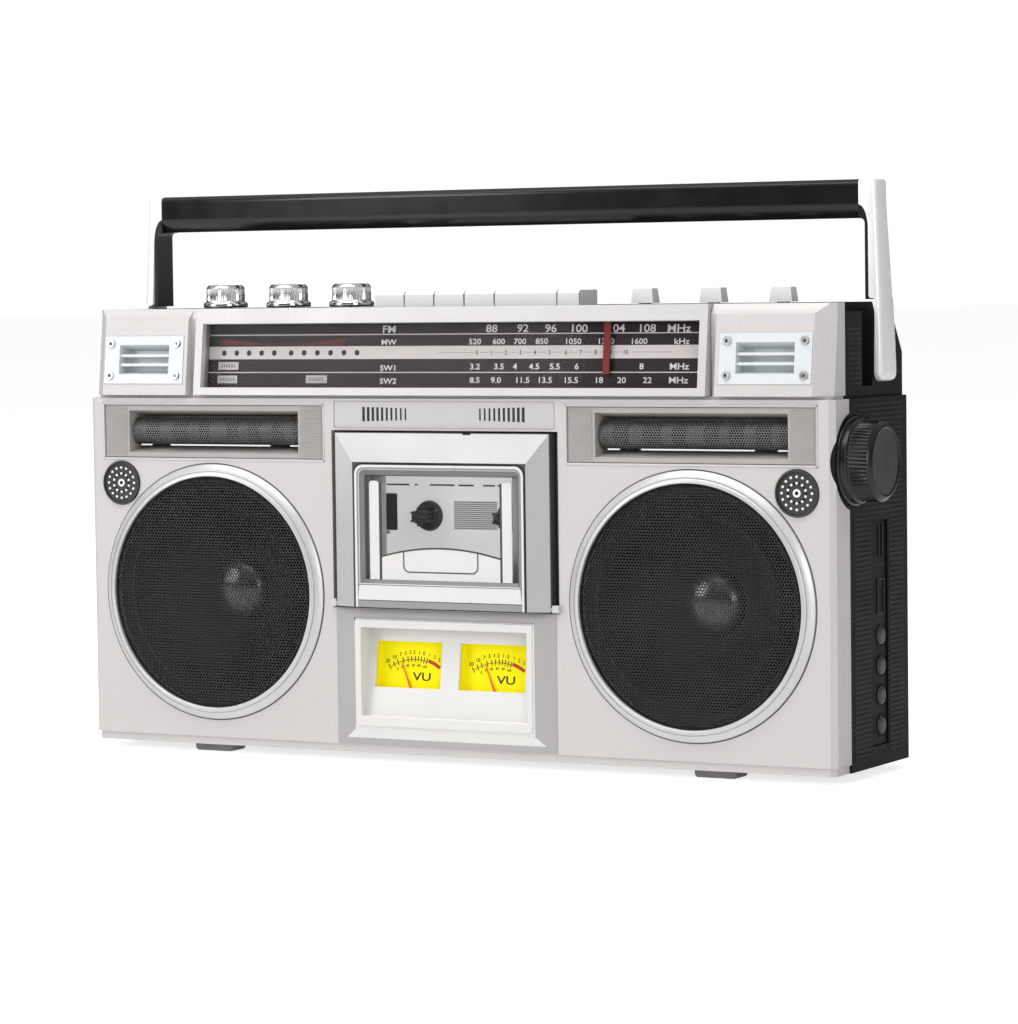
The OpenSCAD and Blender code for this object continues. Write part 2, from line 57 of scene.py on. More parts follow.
# ------------------------------------------------------------------ geometry
class Geo:
    """Collects faces in millimetres, in the drawing frame."""

    def __init__(self):
        self.v, self.f, self.m = [], [], []

    def add(self, vs, fs, mi=0, M=None):
        b = len(self.v)
        if M is None:
            self.v += [tuple(float(c) for c in v) for v in vs]
        else:
            A = np.array(vs, float) @ np.array(M.to_3x3()).T + np.array(M.translation)
            self.v += [tuple(r) for r in A.tolist()]
        self.f += [tuple(b + i for i in f) for f in fs]
        self.m += [mi] * len(fs)

    def box(self, x0, x1, y0, y1, z0, z1, mi=0, M=None, c=0.15):
        cx, cy, cz = (x0 + x1) / 2, (y0 + y1) / 2, (z0 + z1) / 2
        hx, hy, hz = abs(x1 - x0) / 2, abs(y1 - y0) / 2, abs(z1 - z0) / 2
        c = min(c, hx * 0.45, hy * 0.45, hz * 0.45)
        idx, vs = {}, []
        for sx in (-1, 1):
            for sy in (-1, 1):
                for sz in (-1, 1):
                    for k, p in (("x", (hx, hy - c, hz - c)), ("y", (hx - c, hy, hz - c)), ("z", (hx - c, hy - c, hz))):
                        idx[k, sx, sy, sz] = len(vs)
                        vs.append((cx + sx * p[0], cy + sy * p[1], cz + sz * p[2]))
        fs = []
        for s in (-1, 1):
            fs.append([idx["x", s, a, b] for a, b in ((-1, -1), (1, -1), (1, 1), (-1, 1))])
            fs.append([idx["y", a, s, b] for a, b in ((-1, -1), (1, -1), (1, 1), (-1, 1))])
            fs.append([idx["z", a, b, s] for a, b in ((-1, -1), (1, -1), (1, 1), (-1, 1))])
            for t in (-1, 1):
                fs.append([idx["x", s, t, -1], idx["x", s, t, 1], idx["y", s, t, 1], idx["y", s, t, -1]])
                fs.append([idx["x", s, -1, t], idx["x", s, 1, t], idx["z", s, 1, t], idx["z", s, -1, t]])
                fs.append([idx["y", -1, s, t], idx["y", 1, s, t], idx["z", 1, s, t], idx["z", -1, s, t]])
        for sx in (-1, 1):
            for sy in (-1, 1):
                for sz in (-1, 1):
                    fs.append([idx["x", sx, sy, sz], idx["y", sx, sy, sz], idx["z", sx, sy, sz]])
        self.add(vs, fs, mi, M)

    def quad(self, x0, x1, z0, z1, y, mi=0, M=None):
        self.add([(x0, y, z0), (x1, y, z0), (x1, y, z1), (x0, y, z1)], [(0, 1, 2, 3)], mi, M)

    def slab(self, outline, y0, y1, mi=0, M=None):
        """A flat outline [(x, z)] given thickness along y."""
        n = len(outline)
        vs = [(x, y0, z) for x, z in outline] + [(x, y1, z) for x, z in outline]
        fs = [tuple(range(n)), tuple(range(2 * n - 1, n - 1, -1))]
        fs += [(i, (i + 1) % n, n + (i + 1) % n, n + i) for i in range(n)]
        self.add(vs, fs, mi, M)

    def loft(self, rings, mi=0, M=None, closed=True, cap=False):
        """Rings of the same number of points, joined in order."""
        n = len(rings[0])
        vs = [p for r in rings for p in r]
        fs = []
        for k in range(len(rings) - 1):
            for i in range(n if closed else n - 1):
                j = (i + 1) % n
                fs.append((k * n + i, k * n + j, (k + 1) * n + j, (k + 1) * n + i))
        if cap:
            fs.append(tuple(range(n)))
            fs.append(tuple(range(len(vs) - 1, len(vs) - n - 1, -1)))
        self.add(vs, fs, mi, M)

    def lathe(self, prof, n=64, mi=0, M=None, ribs=0, rib_h=0.0, rib_rows=()):
        """prof: (radius, height) turned about local +z; the rows in rib_rows get ribs."""
        rings = []
        for k, (r, h) in enumerate(prof):
            ring = []
            for i in range(n):
                a = 2 * math.pi * i / n
                rr = r
                if ribs and k in rib_rows:
                    rr = r - rib_h * (0.5 - 0.5 * math.cos(ribs * a))
                ring.append((rr * math.cos(a), rr * math.sin(a), h))
            rings.append(ring)
        self.loft(rings, mi, M)
        if prof[0][0] > 1e-6 and prof[0][0] < 1e3:
            pass

    def disc(self, r, h, n=64, mi=0, M=None):
        self.add([(r * math.cos(2 * math.pi * i / n), r * math.sin(2 * math.pi * i / n), h) for i in range(n)], [tuple(range(n))], mi, M)

    def text(self, s, x, z, h, y, mi=0, M=None, wide=1.0, align="CENTER"):
        cu = bpy.data.curves.new("t", "FONT")
        cu.body, cu.size, cu.align_x, cu.resolution_u = s, h / 0.7, align, 3
        cu.offset = 0.022 * h
        ob = bpy.data.objects.new("t", cu)
        bpy.context.scene.collection.objects.link(ob)
        me = ob.to_mesh()
        vs = [(x + v.co.x * wide, y, z + v.co.y) for v in me.vertices]
        fs = [tuple(p.vertices) for p in me.polygons]
        self.add(vs, fs, mi, M)
        ob.to_mesh_clear()
        bpy.data.objects.remove(ob)
        bpy.data.curves.remove(cu)

    def make(self, name, body, mats, sharp=32, M=None, recalc=True, flat=False):
        me = bpy.data.meshes.new(name)
        V = np.array(self.v, float)
        T = CAL if M is None else CAL @ M
        V = V @ np.array(T.to_3x3()).T + np.array(T.translation)
        me.from_pydata(V.tolist(), [], self.f)
        me.polygons.foreach_set("material_index", self.m)
        bm = bmesh.new()
        bm.from_mesh(me)
        bmesh.ops.remove_doubles(bm, verts=bm.verts, dist=2e-7)
        if recalc:
            bmesh.ops.recalc_face_normals(bm, faces=bm.faces)
        lim = rad(sharp)
        for f in bm.faces:
            f.smooth = not flat
        for e in bm.edges:
            e.smooth = len(e.link_faces) == 2 and e.calc_face_angle(0) < lim
        bm.to_mesh(me)
        bm.free()
        for m in mats if isinstance(mats, (list, tuple)) else [mats]:
            me.materials.append(m)
        ob = bpy.data.objects.new(name, me)
        bpy.context.scene.collection.objects.link(ob)
        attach(ob, body)
        return ob


def rrect(x0, x1, z0, z1, r, n=6):
    pts = []
    for cx, cz, a0 in ((x1 - r, z1 - r, 0), (x0 + r, z1 - r, 90), (x0 + r, z0 + r, 180), (x1 - r, z0 + r, 270)):
        for i in range(n + 1):
            a = rad(a0 + 90 * i / n)
            pts.append((cx + r * math.cos(a), cz + r * math.sin(a)))
    return pts


def axis_y(x, y, z):
    """Local +z of a lathe points to -y, towards the viewer in front."""
    return Matrix.Translation((x, y, z)) @ Matrix.Rotation(rad(90), 4, "X")


def axis_x(x, y, z):
    return Matrix.Translation((x, y, z)) @ Matrix.Rotation(rad(90), 4, "Y")


# ------------------------------------------------------------------ materials
def new_mat(name):
    m = bpy.data.materials.new(name)
    m.use_nodes = True
    nt = m.node_tree
    nt.nodes.clear()
    out = nt.nodes.new("ShaderNodeOutputMaterial")
    bs = nt.nodes.new("ShaderNodeBsdfPrincipled")
    nt.links.new(bs.outputs[0], out.inputs["Surface"])
    return m, nt, bs


def material(name, c, rough, metal=0.0, var=0.06, scale=40.0, rvar=0.06, bump=0.02, bscale=2500.0,
             coat=0.0, spec=0.5, brushed=None, streak=0.0, trans=0.0, alpha=1.0, sheen=0.0, flake=0.0, wear=0.0):
    """Moulded, painted or metal finish: cloudy colour, uneven roughness and a fine surface grain."""
    m, nt, bs = new_mat(name)
    L = nt.links.new
    co = nt.nodes.new("ShaderNodeTexCoord")
    src = co.outputs["Object"]
    n1 = nt.nodes.new("ShaderNodeTexNoise")
    n1.inputs["Scale"].default_value = scale
    n1.inputs["Detail"].default_value = 5
    L(src, n1.inputs["Vector"])
    ramp = nt.nodes.new("ShaderNodeValToRGB")
    ramp.color_ramp.elements[0].position, ramp.color_ramp.elements[1].position = 0.3, 0.72
    ramp.color_ramp.elements[0].color = tuple(max(0, x * (1 - var)) for x in c) + (1,)
    ramp.color_ramp.elements[1].color = tuple(min(1, x * (1 + var)) for x in c) + (1,)
    L(n1.outputs["Fac"], ramp.inputs["Fac"])
    col = ramp.outputs["Color"]
    if flake:
        n3 = nt.nodes.new("ShaderNodeTexNoise")
        n3.inputs["Scale"].default_value = 1500.0
        n3.inputs["Detail"].default_value = 2
        L(src, n3.inputs["Vector"])
        r3 = nt.nodes.new("ShaderNodeValToRGB")
        r3.color_ramp.elements[0].position, r3.color_ramp.elements[1].position = 0.35, 0.65
        r3.color_ramp.elements[0].color = (1 - flake,) * 3 + (1,)
        r3.color_ramp.elements[1].color = (1 + flake * 0.5,) * 3 + (1,)
        L(n3.outputs["Fac"], r3.inputs["Fac"])
        mx = nt.nodes.new("ShaderNodeMix")
        mx.data_type, mx.blend_type = "RGBA", "MULTIPLY"
        mx.inputs[0].default_value = 1.0
        L(col, mx.inputs[6])
        L(r3.outputs["Color"], mx.inputs[7])
        col = mx.outputs[2]
    L(col, bs.inputs["Base Color"])
    n2 = nt.nodes.new("ShaderNodeTexNoise")
    n2.inputs["Scale"].default_value = scale * 2.7
    n2.inputs["Detail"].default_value = 7
    L(src, n2.inputs["Vector"])
    mr = nt.nodes.new("ShaderNodeMapRange")
    mr.inputs["From Min"].default_value, mr.inputs["From Max"].default_value = 0.3, 0.7
    mr.inputs["To Min"].default_value, mr.inputs["To Max"].default_value = max(0.02, rough - rvar), min(1, rough + rvar)
    L(n2.outputs["Fac"], mr.inputs["Value"])
    L(mr.outputs["Result"], bs.inputs["Roughness"])
    if bump:
        nb = nt.nodes.new("ShaderNodeTexNoise")
        nb.inputs["Detail"].default_value = 3
        if brushed is not None:
            mp = nt.nodes.new("ShaderNodeMapping")
            mp.inputs["Scale"].default_value = brushed
            L(src, mp.inputs["Vector"])
            L(mp.outputs["Vector"], nb.inputs["Vector"])
            nb.inputs["Scale"].default_value = 1.0
        else:
            nb.inputs["Scale"].default_value = bscale
            L(src, nb.inputs["Vector"])
        bp = nt.nodes.new("ShaderNodeBump")
        bp.inputs["Strength"].default_value = 1.0
        bp.inputs["Distance"].default_value = bump * 0.001
        L(nb.outputs["Fac"], bp.inputs["Height"])
        L(bp.outputs["Normal"], bs.inputs["Normal"])
    bs.inputs["Metallic"].default_value = metal
    bs.inputs["Specular IOR Level"].default_value = spec
    bs.inputs["Coat Weight"].default_value = coat
    bs.inputs["Coat Roughness"].default_value = 0.12
    bs.inputs["Transmission Weight"].default_value = trans
    bs.inputs["Alpha"].default_value = alpha
    return m


MAT = {
    "silver": material("silver_paint", (0.60, 0.582, 0.570), 0.42, metal=0.12, var=0.015, scale=9, rvar=0.04, bump=0.006, bscale=2600, flake=0.05),
    "bezel": material("bezel_satin", (0.58, 0.568, 0.56), 0.36, metal=0.25, var=0.015, scale=12, rvar=0.04, bump=0.004, bscale=3000, flake=0.04),
    # dark_silver: a darker copy of the silver paint, for painted shade in gaps.
    "dark_silver": material("bevel_grey", (0.30, 0.293, 0.29), 0.42, metal=0.45, var=0.02, scale=12, rvar=0.04, bump=0.005, flake=0.04),
    "vent": material("vent_blue_white", (0.68, 0.715, 0.735), 0.38, metal=0.15, var=0.02, scale=20, bump=0.004, flake=0.03),
    "black": material("black_plastic", (0.007, 0.007, 0.008), 0.46, var=0.2, scale=30, bump=0.015, bscale=1400, spec=0.13),
    "gloss": material("black_gloss", (0.008, 0.008, 0.009), 0.24, var=0.2, scale=30, bump=0.004, bscale=900, spec=0.42),
    "grille": material("grille_black", (0.006, 0.006, 0.006), 0.40, metal=0.0, var=0.1, scale=60, bump=0.003, spec=0.16),
    "iron": material("driver_iron", (0.030, 0.031, 0.034), 0.5, metal=0.5, var=0.15, scale=50, bump=0.02),
    "cone": material("cone_paper", (0.006, 0.006, 0.006), 0.38, var=0.3, scale=200, bump=0.03, bscale=1200, spec=0.22),
    "cap": material("dust_cap", (0.42, 0.42, 0.43), 0.20, metal=0.95, var=0.15, scale=100, bump=0.003, bscale=900, spec=0.6),
    "horn": material("horn_grey", (0.036, 0.034, 0.032), 0.48, var=0.12, scale=60, bump=0.01),
    "rib": material("end_plate_grey", (0.42, 0.40, 0.385), 0.45, metal=0.1, var=0.05, scale=60, bump=0.008),
    "alloy": material("satin_alloy", (0.90, 0.90, 0.905), 0.30, metal=0.15, var=0.01, scale=20, brushed=(400, 400, 9000), bump=0.002),
    "chrome": material("chrome", (0.74, 0.745, 0.75), 0.10, metal=1.0, var=0.02, scale=60, rvar=0.03, bump=0.002, bscale=600),
    "key": material("key_silver", (0.84, 0.84, 0.84), 0.36, metal=0.0, var=0.01, scale=30, bump=0.002),
    "yellow": material("meter_yellow", (1.0, 0.88, 0.004), 0.55, var=0.03, scale=60, bump=0.004, spec=0.12),
    "orange": material("needle_orange", (0.75, 0.13, 0.03), 0.4, var=0.05, scale=90, bump=0.002),
    "red": material("needle_red", (0.26, 0.010, 0.012), 0.4, var=0.08, scale=90, bump=0.002),
    "dial": material("dial_brown", (0.030, 0.021, 0.021), 0.5, var=0.12, scale=30, bump=0.004, spec=0.3),
    "deck": material("deck_grey", (0.70, 0.695, 0.69), 0.42, metal=0.3, var=0.03, scale=30, bump=0.01, flake=0.03),
    "steel": material("steel_parts", (0.50, 0.50, 0.51), 0.28, metal=1.0, var=0.08, scale=90, bump=0.004),
    "brass": material("brass_parts", (0.62, 0.46, 0.20), 0.3, metal=1.0, var=0.08, scale=90, bump=0.004),
    "rubber": material("belt_rubber", (0.012, 0.012, 0.012), 0.65, var=0.2, scale=90, bump=0.03, spec=0.3),
    "foot": material("foot_grey", (0.26, 0.255, 0.25), 0.55, var=0.1, scale=90, bump=0.02, bscale=900, spec=0.3),
    "hub": material("hub_plastic", (0.055, 0.055, 0.057), 0.45, var=0.1, scale=90, bump=0.008),
    "board": material("board_green", (0.035, 0.16, 0.07), 0.45, var=0.15, scale=60, bump=0.01),
    "ink": material("print_black", (0.012, 0.011, 0.010), 0.5, var=0.1, scale=200, bump=0.0),
    "cream": material("print_cream", (0.88, 0.83, 0.80), 0.5, var=0.03, scale=90, bump=0.002),
    "white": material("print_white", (0.95, 0.94, 0.93), 0.5, var=0.02, scale=90, bump=0.002),
    "redink": material("print_red", (0.55, 0.02, 0.015), 0.5, var=0.06, scale=90, bump=0.002),
    "darkred": material("print_dark_red", (0.16, 0.012, 0.012), 0.5, var=0.1, scale=90, bump=0.002),
    "mesh": material("tweeter_mesh", (0.035, 0.035, 0.035), 0.34, metal=0.2, var=0.1, scale=60, bump=0.003),
    "node": material("mesh_node", (0.55, 0.55, 0.55), 0.3, metal=0.1, var=0.1, scale=60, bump=0.0),
    "lit": material("deck_painted_light", (0.86, 0.855, 0.85), 0.42, var=0.02, scale=30, bump=0.006, flake=0.02),
    "band": material("rim_band_grey", (0.32, 0.32, 0.325), 0.34, metal=0.4, var=0.03, scale=40, bump=0.003),
    "screw": material("screw_dark", (0.075, 0.078, 0.08), 0.3, metal=0.6, var=0.1, scale=60, bump=0.002),
    "ring": material("ring_silver", (0.62, 0.615, 0.61), 0.32, metal=0.3, var=0.015, scale=20, rvar=0.04, bump=0.003, flake=0.03),
    "gap": material("shadow_gap", (0.10, 0.095, 0.09), 0.6, var=0.1, scale=60, bump=0.004),
    "core": material("tweeter_core", (0.10, 0.10, 0.10), 0.35, metal=0.1, var=0.1, scale=120, bump=0.004),
    "grip": material("grip_gloss", (0.010, 0.010, 0.010), 0.22, var=0.15, scale=30, bump=0.003, bscale=900, spec=0.42),
    "ribs": material("side_ribbing", (0.010, 0.010, 0.011), 0.42, var=0.12, scale=40, bump=0.006, spec=0.2),
    "tongue": material("socket_tongue", (0.50, 0.33, 0.14), 0.40, var=0.05, scale=90, bump=0.004),
    "button": material("button_black", (0.035, 0.036, 0.038), 0.34, var=0.12, scale=60, bump=0.004, spec=0.45),
    # Lit and shaded copies of the silver paint for the door bevels: a darker grey as painted shade on the sides, and a
    # lit copy for the top.
    "door_side": material("door_side_painted_shade", (0.46, 0.458, 0.46), 0.36, metal=0.15, var=0.02, scale=16, bump=0.004, flake=0.03),
    "door_top": material("door_top_painted_light", (0.58, 0.578, 0.575), 0.36, metal=0.1, var=0.015, scale=16, bump=0.004, flake=0.02),
    "groove": material("groove_painted_shade", (0.055, 0.052, 0.05), 0.45, var=0.12, scale=60, bump=0.004),
    "rim": material("window_rim_white", (0.74, 0.735, 0.73), 0.32, metal=0.15, var=0.015, scale=30, bump=0.003),
    "rim2": material("plate_white", (0.73, 0.717, 0.70), 0.38, metal=0.05, var=0.015, scale=30, bump=0.003),
    "recess": material("window_recess_painted_shade", (0.20, 0.20, 0.205), 0.4, metal=0.3, var=0.05, scale=40, bump=0.004),
    "vu_bevel": material("meter_bevel_painted_shade", (0.42, 0.41, 0.402), 0.42, metal=0.1, var=0.02, scale=16, bump=0.004, flake=0.04),
    "lined": material("lined_panel_painted_light", (0.60, 0.60, 0.60), 0.45, var=0.04, scale=90, bump=0.003),
    "label": material("label_pale", (0.70, 0.69, 0.68), 0.5, var=0.05, scale=90, bump=0.003),
    "grey": material("label_grey", (0.30, 0.29, 0.28), 0.5, var=0.05, scale=90, bump=0.003),
}


def glass(name, tint, rough=0.03, ior=1.38):
    m, nt, bs = new_mat(name)
    nt.nodes.remove(bs)
    out = [n for n in nt.nodes if n.type == "OUTPUT_MATERIAL"][0]
    L = nt.links.new
    co = nt.nodes.new("ShaderNodeTexCoord")
    nz = nt.nodes.new("ShaderNodeTexNoise")
    nz.inputs["Scale"].default_value = 60
    L(co.outputs["Object"], nz.inputs["Vector"])
    mr = nt.nodes.new("ShaderNodeMapRange")
    mr.inputs["To Min"].default_value, mr.inputs["To Max"].default_value = rough, rough + 0.05
    L(nz.outputs["Fac"], mr.inputs["Value"])
    tr = nt.nodes.new("ShaderNodeBsdfTransparent")
    tr.inputs["Color"].default_value = tint + (1,)
    gl = nt.nodes.new("ShaderNodeBsdfGlossy")
    gl.inputs["Color"].default_value = (1, 1, 1, 1)
    L(mr.outputs["Result"], gl.inputs["Roughness"])
    fr = nt.nodes.new("ShaderNodeFresnel")
    fr.inputs["IOR"].default_value = ior
    mx = nt.nodes.new("ShaderNodeMixShader")
    L(fr.outputs[0], mx.inputs[0])
    L(tr.outputs[0], mx.inputs[1])
    L(gl.outputs[0], mx.inputs[2])
    L(mx.outputs[0], out.inputs["Surface"])
    return m


# Painted light: the deck plate, the lined panel and the meter faces get an emission glow, though none of them is a
# lamp.
for key, painted_emission in (("lit", 0.48), ("lined", 0.36), ("yellow", 0.07)):
    bsdf = [n for n in MAT[key].node_tree.nodes if n.type == "BSDF_PRINCIPLED"][0]
    bsdf.inputs["Emission Color"].default_value = (1, 0.85, 0.0, 1) if key == "yellow" else (1, 0.995, 0.99, 1)
    bsdf.inputs["Emission Strength"].default_value = painted_emission
MAT["window"] = glass("clear_window", (0.93, 0.925, 0.93), ior=1.12)
MAT["door_glass"] = glass("door_glass", (0.88, 0.885, 0.89), ior=1.15)

SLOT_MAT = {
    "silver_shell": "silver", "bezel_silver": "bezel", "black_plastic": "black", "black_gloss": "gloss",
    "grille_steel": "grille", "driver_iron": "iron", "cone_paper": "cone", "horn_grey": "horn",
    "satin_alloy": "alloy", "chromed": "chrome", "meter_yellow": "yellow", "needle_orange": "orange",
    "needle_red": "red", "clear_window": "window", "dial_brown": "dial", "deck_grey": "deck",
    "steel_parts": "steel", "brass_parts": "brass", "belt_rubber": "rubber", "hub_plastic": "hub",
    "board_green": "board",
}
for ob in NODES.values():
    for s in ob.material_slots:
        key = s.material.name.split(".")[0]
        s.material = MAT[SLOT_MAT.get(key, "silver")]


def paint(node, key):
    for s in NODES[node].material_slots:
        s.material = MAT[key]


paint("vent_plates", "vent")
paint("rubber_feet", "foot")
paint("door_window", "door_glass")
for k in ("record", "play", "rewind", "forward", "stop", "pause"):
    paint(k + "_key", "key")
for k in ("function", "band", "mode"):
    paint(k + "_slider", "key")


# Soft edges on the carried-over solids: weld the face corners, mark the creases, round them.
def edge_group():
    g = bpy.data.node_groups.new("soft_edges", "GeometryNodeTree")
    g.interface.new_socket("Geometry", in_out="INPUT", socket_type="NodeSocketGeometry")
    g.interface.new_socket("Geometry", in_out="OUTPUT", socket_type="NodeSocketGeometry")
    i, o = g.nodes.new("NodeGroupInput"), g.nodes.new("NodeGroupOutput")
    w = g.nodes.new("GeometryNodeMergeByDistance")
    w.inputs["Distance"].default_value = 2e-6
    rm = g.nodes.new("GeometryNodeRemoveAttribute")
    rm.inputs["Name"].default_value = "custom_normal"
    ea = g.nodes.new("GeometryNodeInputMeshEdgeAngle")
    cmp = g.nodes.new("FunctionNodeCompare")
    cmp.data_type, cmp.operation = "FLOAT", "GREATER_THAN"
    cmp.inputs["B"].default_value = rad(28)
    st = g.nodes.new("GeometryNodeStoreNamedAttribute")
    st.data_type, st.domain = "BOOLEAN", "EDGE"
    st.inputs["Name"].default_value = "sharp_edge"
    sm = g.nodes.new("GeometryNodeSetShadeSmooth")
    L = g.links.new
    L(i.outputs[0], w.inputs["Geometry"])
    L(w.outputs["Geometry"], rm.inputs["Geometry"])
    L(rm.outputs["Geometry"], sm.inputs["Geometry"])
    L(sm.outputs["Geometry"], st.inputs["Geometry"])
    L(ea.outputs["Unsigned Angle"], cmp.inputs["A"])
    L(cmp.outputs["Result"], [s for s in st.inputs if s.name == "Value" and s.type == "BOOLEAN"][0])
    L(st.outputs["Geometry"], o.inputs[0])
    return g


SOFT_EDGES = edge_group()


def soften(node, width, seg=2):
    ob = NODES[node]
    m = ob.modifiers.new("weld", "NODES")
    m.node_group = SOFT_EDGES
    b = ob.modifiers.new("round", "BEVEL")
    b.width, b.segments, b.limit_method, b.angle_limit = width * 0.001, seg, "ANGLE", rad(28)
    b.use_clamp_overlap = True
    b.harden_normals = True
    b.miter_outer = "MITER_SHARP"


# ------------------------------------------------------------------ DETAILS
# ---- perforated sheet: round-cornered lattice of holes over a grid of cell centres
def perforate(name, centres, pitch, hole, place, thick, body, mat, backs=True, dots=0.0):
    a = pitch / math.sqrt(3)
    ko = [(a * math.cos(rad(30 + 60 * k)), a * math.sin(rad(30 + 60 * k))) for k in range(6)]
    ki = [(hole * math.cos(rad(60 * k)), hole * math.sin(rad(60 * k))) for k in range(6)]
    C = np.array(centres, float)
    n = len(C)
    pts = np.concatenate([(C[:, None, :] + np.array(ko)[None]), (C[:, None, :] + np.array(ki)[None])], 1).reshape(-1, 2)
    key = np.round(pts / 1e-3).astype(np.int64)
    uq, first, inv = np.unique(key, axis=0, return_index=True, return_inverse=True)
    inv = inv.reshape(n, 12)
    P = pts[first]
    m = len(P)
    front = place(P, 0.0)
    back = place(P, thick)
    faces = []
    for k in range(6):
        o, o2, i, i2 = inv[:, k], inv[:, (k + 1) % 6], inv[:, 6 + k], inv[:, 6 + (k + 1) % 6]
        faces.append(np.stack([i, o, i2], 1))
        faces.append(np.stack([o, o2, i2], 1))
        if backs:
            faces.append(np.stack([i2, o, i], 1) + m)
            faces.append(np.stack([i2, o2, o], 1) + m)
    quads = [np.stack([inv[:, 6 + k], inv[:, 6 + (k + 1) % 6], inv[:, 6 + (k + 1) % 6] + m, inv[:, 6 + k] + m], 1) for k in range(6)]
    V = np.concatenate([front, back], 0) * 0.001 + np.array([OX, OY, OZ])
    me = bpy.data.meshes.new(name)
    all_f = np.concatenate(faces).tolist() + np.concatenate(quads).tolist()
    idx = [0] * len(all_f)
    # dots: small light squares just in front of the lattice nodes, painted highlights
    if dots:
        N = P[np.unique(inv[:, :6])]
        tri = []
        for k in range(4):
            a2 = rad(45 + 90 * k)
            tri.append(place(N + np.array([[dots * math.cos(a2), dots * math.sin(a2)]]), -0.03))
        D = np.concatenate(tri, 0) * 0.001 + np.array([OX, OY, OZ])
        n2, base = len(N), len(V)
        V = np.concatenate([V, D], 0)
        q = np.stack([np.arange(n2) + base + k * n2 for k in range(4)], 1)
        all_f += q.tolist()
        idx += [1] * n2
    me.from_pydata(V.tolist(), [], all_f)
    me.materials.append(MAT[mat])
    me.materials.append(MAT["node"])
    me.polygons.foreach_set("material_index", idx)
    ob = bpy.data.objects.new(name, me)
    bpy.context.scene.collection.objects.link(ob)
    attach(ob, body)
    return ob


